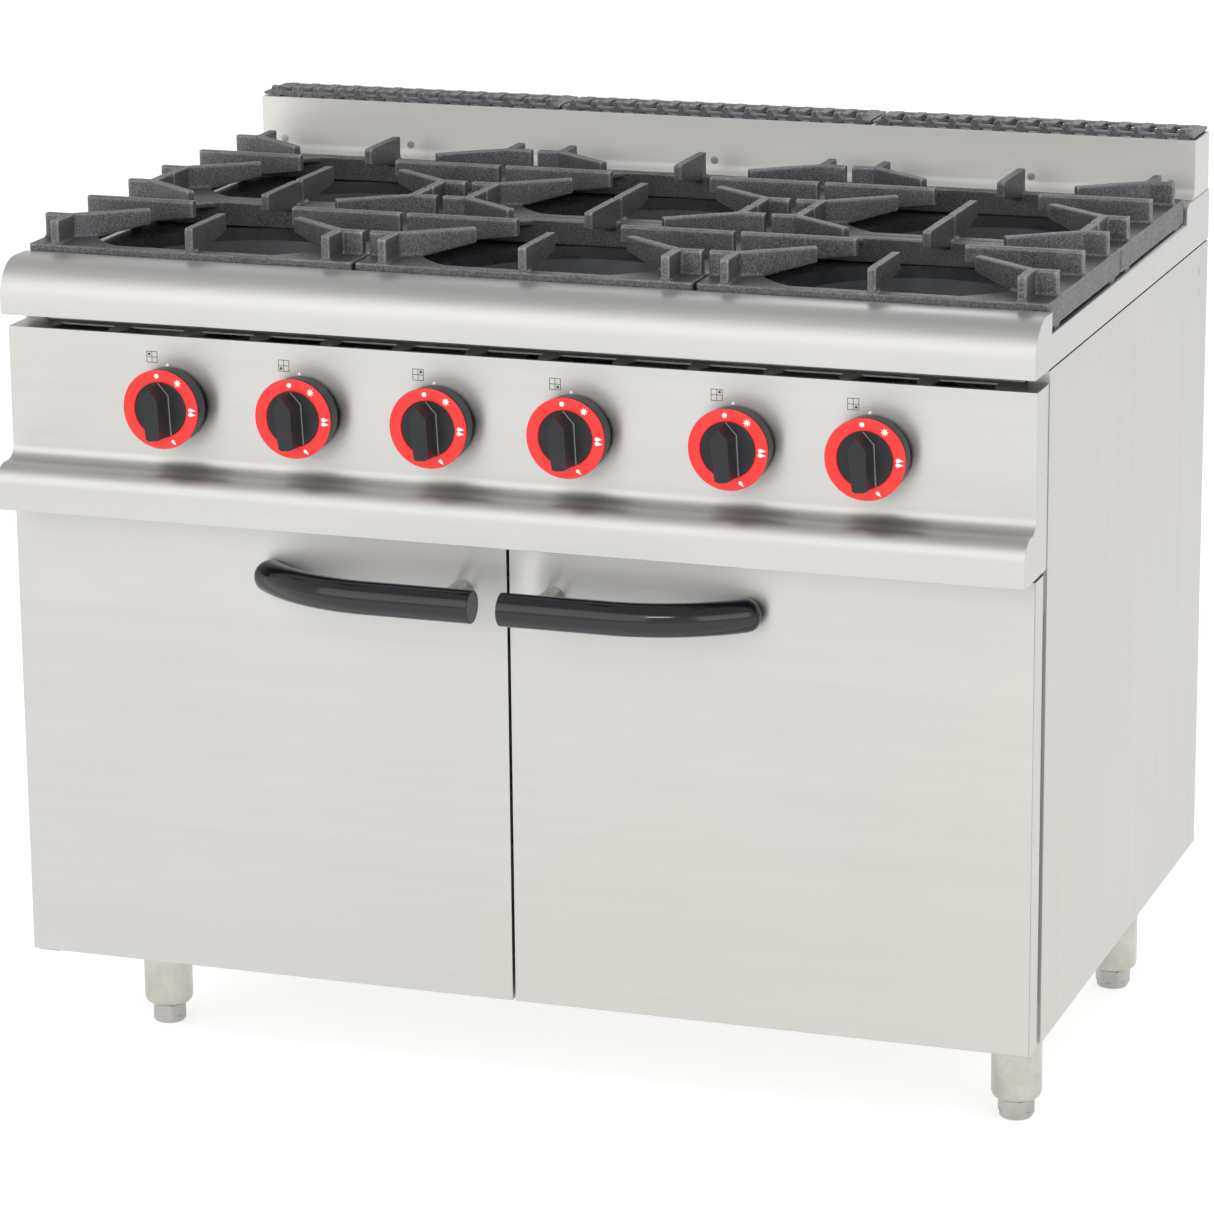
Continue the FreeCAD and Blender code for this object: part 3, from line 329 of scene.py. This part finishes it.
STEEL = (0.56, 0.553, 0.537)
FINISHES = {
    "stainless_front": brushed_steel("steel_brushed_across", 0, STEEL, 0.36),
    "stainless_side": brushed_steel("steel_brushed_upright", 2, STEEL, 0.38),
    "galvanised": spangled_zinc("galvanised_sheet", (0.55, 0.56, 0.57)),
    # the last colour is the lightened-edge colour: partly rubbed wear, partly a painted highlight
    "cast_iron": cast_iron("cast_iron", (0.068, 0.068, 0.071), (0.3, 0.3, 0.31)),
    "enamel": enamel("black_enamel", (0.03, 0.033, 0.037)),
    "handle_plastic": moulded_plastic("gloss_black_plastic", (0.005, 0.006, 0.007), 0.13, 0.02),
    "knob_plastic": moulded_plastic("satin_black_plastic", (0.026, 0.0265, 0.029), 0.36, gloss=0.16),
    "dial_red": moulded_plastic("red_plastic", (0.74, 0.018, 0.015), 0.36),
    "brass": plain_metal("brass", (0.62, 0.44, 0.2), 0.3),
    "pipe_steel": plain_metal("pipe_steel", (0.3, 0.3, 0.31), 0.45),
    "aluminium_tube": plain_metal("aluminium_tube", (0.72, 0.72, 0.73), 0.32),
    "foot_nickel": plain_metal("brushed_nickel", (0.58, 0.56, 0.51), 0.3, (160.0, 160.0, 4.0)),
    "zinc": plain_metal("zinc_plating", (0.5, 0.49, 0.46), 0.34),
}
# painted light: the back guard is the same brushed steel, given a lighter colour (0.7 against 0.56) so that it
# reads more brightly lit than the other panels
GUARD_STEEL_PAINTED_LIGHTER = brushed_steel("steel_brushed_guard_painted_lighter", 0, (0.7, 0.688, 0.665), 0.52)
# painted shade: the handle posts are the same steel, given a darker colour for the shade and dark reflections
# seen on them
POST_STEEL_PAINTED_DARKER = plain_metal("post_steel_painted_darker", (0.36, 0.35, 0.34), 0.26)
MARK_WHITE = moulded_plastic("white_print", (0.88, 0.88, 0.86), 0.45)
# painted highlight: light-grey plastic for the strip that stands in for the glint beside each knob's grip bar
GLINT_STRIP_GREY = moulded_plastic("painted_glint_strip", (0.22, 0.22, 0.23), 0.3)
PRINT_BLACK = moulded_plastic("black_print", (0.035, 0.035, 0.035), 0.5)
RIVET_STEEL = plain_metal("rivet_steel", (0.5, 0.49, 0.475), 0.42)


# ---------------------------------------------------------------- mesh helpers
def body_of(node):
    """The CAD body that a node rides on."""
    return frame["nodes"][node]["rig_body"]


def add_piece(name, mesh, finish, body, replaces=(), crease=35.0):
    """A new object on a body, smooth apart from edges sharper than crease degrees."""
    mesh.materials.clear()
    mesh.materials.append(finish)
    mesh.shade_smooth()
    mesh.set_sharp_from_angle(angle=math.radians(crease))
    made = bpy.data.objects.new(name, mesh)
    bpy.context.scene.collection.objects.link(made)
    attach(made, body)
    if replaces:
        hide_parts(*replaces)
    return made


def to_mesh(shape, name):
    """A mesh from a bmesh, its faces turned outwards."""
    bmesh.ops.recalc_face_normals(shape, faces=shape.faces)
    mesh = bpy.data.meshes.new(name)
    shape.to_mesh(mesh)
    shape.free()
    return mesh


def welded(node):
    """A CAD node's mesh as a bmesh, its split vertices joined and its flat faces merged."""
    shape = bmesh.new()
    shape.from_mesh(frame["nodes"][node].data)
    bmesh.ops.remove_doubles(shape, verts=shape.verts, dist=WELD * MM)
    bmesh.ops.dissolve_limit(shape, angle_limit=math.radians(FLAT_ANGLE), verts=shape.verts, edges=shape.edges)
    return shape


def soften(piece, width, segments=2, angle=EDGE_ANGLE):
    """Rounded edges, width in millimetres."""
    bevel = piece.modifiers.new("edges", "BEVEL")
    bevel.width = width * MM
    bevel.segments = segments
    bevel.limit_method = "ANGLE"
    bevel.angle_limit = math.radians(angle)
    bevel.miter_outer = "MITER_ARC"
    bevel.harden_normals = True
    return piece


def stand_in(node, shape, name, finish=None):
    """A piece that replaces a CAD node, in its slot's finish unless another is given."""
    slot = SLOTS[node]
    return add_piece(name, to_mesh(shape, name), finish or FINISHES[slot], body_of(node), (node,))


def form(node, edge, finish=None):
    """A CAD node's shape with its edges rounded."""
    return soften(stand_in(node, welded(node), node + "_formed", finish), edge)


def fold(node, finish=None):
    """A sheet node with its folds and outer edges rounded; the rims of its holes stay sharp."""
    shape = welded(node)
    weight = shape.edges.layers.float.new("bevel_weight_edge")
    for edge in shape.edges:
        bent = edge.calc_face_angle(0.0) > math.radians(EDGE_ANGLE)
        wide = min(face.calc_area() for face in edge.link_faces) > FOLD_AREA * MM * MM
        edge[weight] = float(bent and wide)
    made = soften(stand_in(node, shape, node + "_folded", finish), SHEET_EDGE)
    made.modifiers["edges"].limit_method = "WEIGHT"
    return made


def evaluated(mesh, *modifiers):
    """The mesh after modifiers, each given as (type, settings)."""
    holder = bpy.data.objects.new("holder", mesh)
    bpy.context.scene.collection.objects.link(holder)
    for number, (kind, settings) in enumerate(modifiers):
        modifier = holder.modifiers.new(str(number), kind)
        for key, value in settings.items():
            setattr(modifier, key, value)
    result = bpy.data.meshes.new_from_object(holder.evaluated_get(bpy.context.evaluated_depsgraph_get()))
    bpy.data.objects.remove(holder)
    return result


def cast_mesh(node, voxel, passes, keep):
    """A node's shape with edges and inner corners rounded as in a sand casting, and faces slightly uneven."""
    mesh = evaluated(to_mesh(welded(node), node + "_pattern"),
                     ("REMESH", {"mode": "VOXEL", "voxel_size": voxel * MM}),
                     ("SMOOTH", {"factor": 0.5, "iterations": passes}),
                     ("DECIMATE", {"ratio": keep}))
    normals = [vertex.normal.copy() for vertex in mesh.vertices]
    for vertex, normal in zip(mesh.vertices, normals):
        vertex.co += normal * noise.noise(vertex.co * WAVE_SCALE) * CAST_WAVE * MM
    return mesh


def lathe(profile, steps=64):
    """Closed solid of revolution about the Y axis: (radius, depth) points in mm, depth towards -Y."""
    shape = bmesh.new()
    rings = []
    for radius, depth in profile:
        if radius == 0:
            rings.append([shape.verts.new((0, -depth * MM, 0))])
            continue
        turns = [2 * math.pi * i / steps for i in range(steps)]
        rings.append([shape.verts.new((radius * MM * math.cos(t), -depth * MM, radius * MM * math.sin(t)))
                      for t in turns])
    closed = profile[0][0] > 0 and profile[-1][0] > 0
    pairs = list(zip(rings, rings[1:])) + ([(rings[-1], rings[0])] if closed else [])
    for first, second in pairs:
        if len(first) == len(second) == 1:
            continue
        for i in range(steps):
            j = (i + 1) % steps
            corners = [first[i % len(first)], first[j % len(first)],
                       second[j % len(second)], second[i % len(second)]]
            shape.faces.new(list(dict.fromkeys(corners)))
    return shape


def plate(shape, outline, depth, thick):
    """Add a flat plate to a bmesh: outline is (x, z) in mm, its back at depth in front of the panel."""
    back = [shape.verts.new((x * MM, -depth * MM, z * MM)) for x, z in outline]
    front = [shape.verts.new((x * MM, -(depth + thick) * MM, z * MM)) for x, z in outline]
    shape.faces.new(back)
    shape.faces.new(front)
    count = len(outline)
    for i in range(count):
        j = (i + 1) % count
        shape.faces.new((back[i], back[j], front[j], front[i]))


def turned_about(points, degrees, shift=(0.0, 0.0)):
    """2-D points turned clockwise by degrees, after a shift."""
    turn = math.radians(degrees)
    return [((x + shift[0]) * math.cos(turn) + (z + shift[1]) * math.sin(turn),
             -(x + shift[0]) * math.sin(turn) + (z + shift[1]) * math.cos(turn)) for x, z in points]


def circle(radius, steps=24):
    """2-D circle."""
    return [(radius * math.cos(2 * math.pi * i / steps), radius * math.sin(2 * math.pi * i / steps))
            for i in range(steps)]


def star(outer, inner, tips=8):
    """2-D star."""
    points = []
    for i in range(2 * tips):
        radius, turn = (outer, inner)[i % 2], math.pi * i / tips
        points.append((radius * math.sin(turn), radius * math.cos(turn)))
    return points


def teardrop(radius, length, steps=14):
    """2-D drop with its point up."""
    round_end = [(radius * math.cos(t), radius * math.sin(t))
                 for t in [math.radians(-200 + 220 * i / steps) for i in range(steps + 1)]]
    return round_end + [(0.0, length - radius)]


# ---------------------------------------------------------------- sheet metal, castings and small parts
def build_sheet_metal():
    """Folded panels and doors with rounded edges."""
    for node in ("hob_top", "control_panel", "left_side_panel", "right_side_panel", "back_panel",
                 "door_shell_left", "door_shell_right"):
        fold(node)
    # painted light: the guard takes the lighter copy of the steel
    fold("back_guard", GUARD_STEEL_PAINTED_LIGHTER)


def centre_of(node):
    """The middle of a node's box."""
    return sum(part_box(node), Vector()) / 2


def cast_alike(nodes, voxel, passes, keep):
    """Castings of one pattern, taken from the first node."""
    pattern = cast_mesh(nodes[0], voxel, passes, keep)
    home = centre_of(nodes[0])
    for node in nodes:
        made = add_piece(node + "_cast", pattern.copy(), FINISHES["cast_iron"], node, (node,), 60)
        made.data.transform(Matrix.Translation(centre_of(node) - home))


def build_castings():
    """Grates and flue grilles."""
    cast_alike(["grate_%s_%s" % (column, row) for column in COLUMNS for row in ROWS], CAST_VOXEL, 3, 0.35)
    cast_alike(["flue_grille_" + column for column in COLUMNS], GRILLE_VOXEL, 2, 0.4)


def build_small_parts():
    """Feet, posts and burners with rounded edges."""
    form("foot_tubes", TURNED_EDGE)
    for row in ROWS:
        for side_name in SIDES:
            form("foot_adjuster_%s_%s" % (row, side_name), TURNED_EDGE)
    for side_name in SIDES:
        # painted shade: the posts take the darker copy of the steel
        form("handle_post_" + side_name, TURNED_EDGE, POST_STEEL_PAINTED_DARKER)
    for node in ("burner_castings", "burner_caps"):
        form(node, BURNER_EDGE)


# ---------------------------------------------------------------- knobs and panel marks
def knob_centre(number):
    """The point on the panel's face behind a knob's centre."""
    low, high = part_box("knob_dial_%d" % number)
    return Vector(((low.x + high.x) / 2, low.y + RING_FACE * MM, (low.z + high.z) / 2))


GRIP_SECTION = ((4.2, 5.5), (9, 5.5), (9, 22), (33.5, 22), (35.8, 5), (38.0, 5), (38.8, 21.5), (38.0, 23.4),
                (27.6, 24.2), (27.0, 26.2), (26.2, 26.7), (18, 26.9), (0, 27.0), (0, 26), (4.2, 26))
BAR_SECTION = ((-9, 14), (0, 26.5), (9, 14), (7.6, -25.5), (4.5, -27.2), (-4.5, -27.2), (-7.6, -25.5))
BAR_BASE = 25.0              # the grip bar starts inside the face disc
BAR_BASE_SIZE = 1.06         # the bar's section is this much larger than BAR_SECTION at its base
BAR_FRONT_SIZE = 0.97        # and this much at its front
GRIP_EDGE = 0.7
GLINT_STRIP_WIDTH = 1.1             # painted highlight: light-grey strip beside the bar, for the glint on its foot
GLINT_STRIP_SINK = 0.3
GLINT_STRIP_THICK = 0.6
PRINT_SINK = 0.02
FLAME_ASIDE = 2.2            # the two drops of the high flame stand this far to each side
FLAME_DROP = 1.5             # and this much nearer the dial's middle
RING_SECTION = ((RING_INNER, 24.6), (RING_OUTER - 1.0, 24.6), (RING_OUTER - 0.2, 25.2), (RING_OUTER, 26.0),
                (RING_OUTER - 0.3, 26.7), (RING_OUTER - 1.0, RING_FACE), (RING_INNER + 0.7, RING_FACE),
                (RING_INNER, 26.5))


def grip_mesh():
    """Knob body: hollow skirt, face disc with a shallow groove, and the pointed grip bar."""
    body = to_mesh(lathe(GRIP_SECTION), "body")
    bar = bmesh.new()
    rings = []
    for depth, grow in ((BAR_BASE, BAR_BASE_SIZE), (BAR_REACH, BAR_FRONT_SIZE)):
        points = turned_about([(x * grow, z * min(grow, 1.0)) for x, z in BAR_SECTION], -KNOB_TWIST)
        rings.append([bar.verts.new((x * MM, -depth * MM, z * MM)) for x, z in points])
    bar.faces.new(rings[0])
    bar.faces.new(rings[1])
    for i in range(len(BAR_SECTION)):
        j = (i + 1) % len(BAR_SECTION)
        bar.faces.new((rings[0][i], rings[0][j], rings[1][j], rings[1][i]))
    cutter = bpy.data.objects.new("bar", to_mesh(bar, "bar"))
    bpy.context.scene.collection.objects.link(cutter)
    joined = evaluated(body, ("BOOLEAN", {"operation": "UNION", "object": cutter, "solver": "EXACT"}))
    bpy.data.objects.remove(cutter)
    return joined


def glint_strip_mesh():
    """Thin light-grey strip along the foot of the grip bar's right side: a painted highlight for the glint
    there.
    """
    inner = [(x * BAR_BASE_SIZE, z) for x, z in BAR_SECTION[1:4]]
    outer = [(x + GLINT_STRIP_WIDTH, z) for x, z in inner]
    shape = bmesh.new()
    plate(shape, turned_about(inner + outer[::-1], -KNOB_TWIST), RING_FACE - GLINT_STRIP_SINK, GLINT_STRIP_THICK)
    return to_mesh(shape, "edge")


def ring_mesh():
    """Dial ring with a rounded outer rim."""
    return to_mesh(lathe(RING_SECTION, 96), "ring")


def dial_marks_mesh():
    """Off dot, spark star, high and low flames, as thin print on the ring."""
    shape = bmesh.new()
    high_flame = teardrop(1.9, 7.8)
    low_flame = turned_about(teardrop(1.7, 6.6), LOW_FLAME_LEAN)
    drawings = (("off", circle(2.3), 0.0, 0.0), ("spark", star(4.3, 1.7), 0.0, 0.0),
                ("high", high_flame, -FLAME_ASIDE, FLAME_DROP), ("high", high_flame, FLAME_ASIDE, FLAME_DROP),
                ("low", low_flame, 0.0, 0.0))
    for name, outline, aside, drop in drawings:
        points = turned_about(outline, DIAL_ANGLES[name] - KNOB_TWIST, (aside, MARK_RADIUS - drop))
        plate(shape, points, RING_FACE - PRINT_SINK, MARK_THICK)
    return to_mesh(shape, "dial_marks")


def icon_mesh(dot):
    """Burner-position mark: a square cut in four, with a dot in one quarter."""
    half, line = ICON_SIZE / 2, ICON_LINE
    stops = (-half, -half + line, -line / 2, line / 2, half - line, half)
    shape = bmesh.new()
    corners = [[shape.verts.new((x * MM, MARK_SINK * MM, z * MM)) for z in stops] for x in stops]
    for i in range(5):
        for j in range(5):
            if i % 2 == 0 or j % 2 == 0:
                shape.faces.new((corners[i][j], corners[i + 1][j], corners[i + 1][j + 1], corners[i][j + 1]))
    lifted = bmesh.ops.extrude_face_region(shape, geom=shape.faces[:])
    for item in lifted["geom"]:
        if isinstance(item, bmesh.types.BMVert):
            item.co.y = -MARK_THICK * MM
    spot = [(x + dot[0] * half / 2, z + dot[1] * half / 2) for x, z in circle(DOT_RADIUS, 16)]
    plate(shape, spot, -MARK_SINK, MARK_THICK + 2 * MARK_SINK)
    return to_mesh(shape, "icon")


def build_knobs():
    """Six knobs with their dials, and the marks printed on the panel."""
    grip, ring, marks, edge = grip_mesh(), ring_mesh(), dial_marks_mesh(), glint_strip_mesh()
    domed = [(0, 1.1), (1.0, 0.9), (INDEX_RADIUS, 0.3), (INDEX_RADIUS, -0.05), (0, -0.05)]
    index = to_mesh(lathe(domed, 20), "index")
    for number in KNOBS:
        place = Matrix.Translation(knob_centre(number))
        body = "knob_%d" % number
        parts = (("grip", grip, "knob_plastic", FINISHES["knob_plastic"], ("knob_grip_%d" % number,)),
                 ("ring", ring, "dial_red", FINISHES["dial_red"], ("knob_dial_%d" % number,)),
                 ("marks", marks, "dial_red", MARK_WHITE, ()),
                 # painted highlight: the light-grey strip beside the grip bar
                 ("edge", edge, "knob_plastic", GLINT_STRIP_GREY, ()))
        for name, mesh, slot, finish, replaced in parts:
            title = "knob_%s_%d_moulded" % (name, number)
            made = add_piece(title, mesh.copy(), finish, body, replaced, 28)
            made.data.transform(place)
            if name == "grip":
                soften(made, GRIP_EDGE, 3, 25)
        icon = add_piece("burner_mark_%d" % number, icon_mesh(ICON_DOTS[number - 1]), PRINT_BLACK, "range")
        icon.data.transform(place @ Matrix.Translation((-ICON_LEFT * MM, 0, ICON_UP * MM)))
        pin = add_piece("index_dot_%d" % number, index.copy(), MARK_WHITE, "range", (), 50)
        pin.data.transform(place @ Matrix.Translation((-INDEX_LEFT * MM, 0, INDEX_UP * MM)))


# ---------------------------------------------------------------- handles
def handle_path(start, end, bar_y, end_y):
    """(x, y, turn, size) stations along a handle: straight, then an arc, then a blunt tip."""
    bend = start + HANDLE_STRAIGHT * MM
    run, drop = end - bend, end_y - bar_y
    bow = (run ** 2 + drop ** 2) / (2 * drop)
    sweep = math.asin(run / bow)
    stations = []
    for step in range(HANDLE_STEPS + 1):
        share = step / HANDLE_STEPS
        if share < HANDLE_STRAIGHT_SHARE:
            stations.append((start + (bend - start) * share / HANDLE_STRAIGHT_SHARE, bar_y, 0.0, 1.0))
        else:
            turn = sweep * (share - HANDLE_STRAIGHT_SHARE) / (1 - HANDLE_STRAIGHT_SHARE)
            stations.append((bend + bow * math.sin(turn), bar_y + bow * (1 - math.cos(turn)), turn, 1.0))
    x, y, turn, _ = stations[-1]
    for step in range(1, HANDLE_TIP_STEPS + 1):
        angle = math.pi / 2 * step / HANDLE_TIP_STEPS
        ahead = HANDLE_RADIUS * MM * HANDLE_TIP_REACH * math.sin(angle)
        size = max(HANDLE_TIP_SIZE, math.cos(angle) ** HANDLE_TIP_POWER)
        stations.append((x + ahead * math.cos(turn), y + ahead * math.sin(turn), turn, size))
    return stations


def build_handle(side_name):
    """Bow handle: a round bar, square-cut by the door gap, that bends back to a blunt foot on the door."""
    side = SIDES[side_name]
    low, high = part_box("door_handle_" + side_name)
    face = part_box("door_shell_" + side_name)[0].y
    radius = HANDLE_RADIUS * MM
    level = (low.z + high.z) / 2
    back = face - HANDLE_FOOT_GAP * MM
    shape = bmesh.new()
    rings = []
    for x, y, turn, size in handle_path(min(abs(low.x), abs(high.x)), max(abs(low.x), abs(high.x)) - radius,
                                        low.y + radius, face - HANDLE_END_DEPTH * MM):
        ring = []
        for i in range(HANDLE_SIDES):
            around = 2 * math.pi * i / HANDLE_SIDES
            out, up = radius * size * math.cos(around), radius * size * math.sin(around)
            ring.append(shape.verts.new((side * (x + out * math.sin(turn)), min(back, y - out * math.cos(turn)),
                                         level + up)))
        rings.append(ring)
    for first, second in zip(rings, rings[1:]):
        for i in range(HANDLE_SIDES):
            j = (i + 1) % HANDLE_SIDES
            shape.faces.new((first[i], first[j], second[j], second[i]))
    shape.faces.new(rings[0])
    shape.faces.new(rings[-1])
    node = "door_handle_" + side_name
    made = add_piece(node + "_moulded", to_mesh(shape, node), FINISHES["handle_plastic"], body_of(node),
                     (node,), 50)
    soften(made, HANDLE_EDGE, 3, 50)


# ---------------------------------------------------------------- rivets and screws
def build_rivets():
    """Low rivets along the guard's foot and at the top rear of the side panels."""
    guard_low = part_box("back_guard")[0]
    face = guard_low.y + GUARD_FOOT * MM
    row = guard_low.z + GUARD_RIVET_UP * MM
    profile = [(0, RIVET_HEIGHT), (RIVET_RADIUS * 0.6, RIVET_HEIGHT * 0.8), (RIVET_RADIUS, 0.1),
               (RIVET_RADIUS, -RIVET_SINK), (0, -RIVET_SINK)]
    places = []
    for number, x in enumerate(GUARD_RIVET_X, 1):
        places.append(("guard_rivet_%d" % number, Matrix.Translation((x * MM, face, row))))
    for side_name, side in SIDES.items():
        low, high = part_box(side_name + "_side_panel")
        outer = (low.x, high.x)[side > 0]
        turn = Matrix.Rotation(side * math.pi / 2, 4, "Z")
        for number, drop in enumerate(SIDE_RIVET_DROPS, 1):
            centre = (outer, high.y - SIDE_RIVET_INSET * MM, high.z - drop * MM)
            places.append(("side_rivet_%s_%d" % (side_name, number), Matrix.Translation(centre) @ turn))
    for name, place in places:
        made = add_piece(name, to_mesh(lathe(profile, 24), name), RIVET_STEEL, "range", (), 60)
        made.data.transform(place)


def screw_mesh():
    """Pan-head screw with a cross recess."""
    profile = [(0, 2.6), (2.6, 2.3), (4.0, 1.3), (SCREW_RADIUS, 0.3), (SCREW_RADIUS, 0), (2.0, 0), (2.0, -5),
               (0, -5)]
    head = to_mesh(lathe(profile, 32), "head")
    cross = bmesh.new()
    for wide, tall in ((CROSS_LENGTH, CROSS_WIDTH), (CROSS_WIDTH, CROSS_LENGTH)):
        x, z = wide / 2, tall / 2
        plate(cross, [(-x, -z), (x, -z), (x, z), (-x, z)], 1.2, 3.0)
    cutter = bpy.data.objects.new("cross", to_mesh(cross, "cross"))
    bpy.context.scene.collection.objects.link(cutter)
    made = evaluated(head, ("BOOLEAN", {"operation": "DIFFERENCE", "object": cutter, "solver": "EXACT",
                                        "use_self": True}))
    bpy.data.objects.remove(cutter)
    return made


def build_screws():
    """Screws of the back panel, on the centres of the CAD screws."""
    low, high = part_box("fasteners")
    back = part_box("back_panel")[1].y
    screw = screw_mesh()
    radius = SCREW_RADIUS * MM
    number = 0
    for x in (low.x + radius, high.x - radius):
        for row in range(SCREW_ROWS):
            number += 1
            z = low.z + radius + (high.z - low.z - 2 * radius) * row / (SCREW_ROWS - 1)
            made = add_piece("back_screw_%d" % number, screw.copy(), FINISHES["zinc"], "range",
                             ("fasteners",), 40)
            made.data.transform(Matrix.Translation((x, back, z)) @ Matrix.Rotation(math.pi, 4, "Z")
                                @ Matrix.Rotation(math.radians(SCREW_TURN * number), 4, "Y"))


# ---------------------------------------------------------------- floor, light and camera
CAMERA_TARGET = Vector((-0.014, -0.006, 0.454))
CAMERA_AZIMUTH = 19.4
CAMERA_ELEVATION = 15.16
CAMERA_ROLL = -0.54
CAMERA_DISTANCE = 5.068
CAMERA_LENS = 145.3
FLOOR_REACH = 40.0           # half the floor's width, in metres
FLOOR_GLOW = 0.56
SKY_LOW = 0.95               # brightness of the surroundings near the horizon
SKY_HIGH = 0.55              # and overhead


def build_floor():
    """Wide pale floor, bright enough to read as white."""
    finish = Finish("pale_floor", Roughness=0.9)
    drift = finish.noise(0.7, 3.0, 0.5)
    finish.give("Base Color", finish.blend(drift, (0.79, 0.79, 0.785), (0.81, 0.81, 0.805)))
    finish.give("Emission Color", (1.0, 1.0, 1.0, 1.0))
    finish.give("Emission Strength", FLOOR_GLOW)
    mesh = bpy.data.meshes.new("floor")
    far = FLOOR_REACH
    corners = [(-far, -far, 0), (far, -far, 0), (far, far, 0), (-far, far, 0)]
    mesh.from_pydata(corners, [], [(0, 1, 2, 3)])
    mesh.materials.append(finish.material)
    floor = bpy.data.objects.new("floor", mesh)
    bpy.context.scene.collection.objects.link(floor)


def area_light(name, place, target, size, power):
    """Soft rectangular light that points at a target."""
    lamp = bpy.data.lights.new(name, "AREA")
    lamp.shape = "RECTANGLE"
    lamp.size, lamp.size_y = size
    lamp.energy = power
    holder = bpy.data.objects.new(name, lamp)
    holder.location = place
    holder.rotation_euler = (Vector(target) - Vector(place)).to_track_quat("-Z", "Y").to_euler()
    bpy.context.scene.collection.objects.link(holder)


def build_light():
    """Bright surroundings that darken overhead, with four soft lights."""
    world = bpy.data.worlds.new("studio")
    world.use_nodes = True
    tree = world.node_tree
    direction = tree.nodes.new("ShaderNodeTexCoord").outputs["Generated"]
    height = tree.nodes.new("ShaderNodeSeparateXYZ")
    tree.links.new(direction, height.inputs[0])
    ramp = tree.nodes.new("ShaderNodeValToRGB")
    low, high = ramp.color_ramp.elements
    low.position, low.color = 0.15, (SKY_LOW, SKY_LOW, SKY_LOW, 1)
    high.position, high.color = 0.85, (SKY_HIGH, SKY_HIGH, SKY_HIGH * 1.02, 1)
    tree.links.new(height.outputs["Z"], ramp.inputs[0])
    tree.links.new(ramp.outputs[0], tree.nodes["Background"].inputs["Color"])
    bpy.context.scene.world = world
    # place and target in metres, size in metres, power in watts
    area_light("key", (-1.4, -3.6, 2.5), (0, 0, 0.7), (4.6, 3.0), 50)
    area_light("fill", (3.2, -2.6, 1.9), (0, 0, 0.5), (2.4, 2.0), 22)
    area_light("glint", (0.9, -3.5, 2.9), (0.1, -0.3, 0.6), (0.9, 0.3), 14)
    area_light("back", (0.4, 3.0, 2.6), (0, 0.2, 0.9), (3.0, 1.6), 16)


def build_camera():
    """Camera at the product view."""
    azimuth, elevation = math.radians(CAMERA_AZIMUTH), math.radians(CAMERA_ELEVATION)
    back = Vector((math.sin(azimuth) * math.cos(elevation), -math.cos(azimuth) * math.cos(elevation),
                   math.sin(elevation)))
    lens = bpy.data.cameras.new("camera")
    lens.lens = CAMERA_LENS
    lens.sensor_width = 36.0
    lens.clip_start, lens.clip_end = 0.1, 200.0
    camera = bpy.data.objects.new("camera", lens)
    camera.location = CAMERA_TARGET + back * CAMERA_DISTANCE
    roll = Matrix.Rotation(math.radians(CAMERA_ROLL), 3, "Z")
    camera.rotation_euler = ((-back).to_track_quat("-Z", "Y").to_matrix() @ roll).to_euler()
    bpy.context.scene.collection.objects.link(camera)
    bpy.context.scene.camera = camera


def finish_cad_nodes():
    """Every CAD node takes the finish of its slot."""
    for node, item in frame["nodes"].items():
        item.data.materials.clear()
        item.data.materials.append(FINISHES[SLOTS[node]])


finish_cad_nodes()
build_sheet_metal()
build_castings()
build_small_parts()
build_knobs()
for side_name in SIDES:
    build_handle(side_name)
build_rivets()
build_screws()
build_floor()
build_light()
build_camera()
bpy.context.scene.view_settings.view_transform = "Standard"
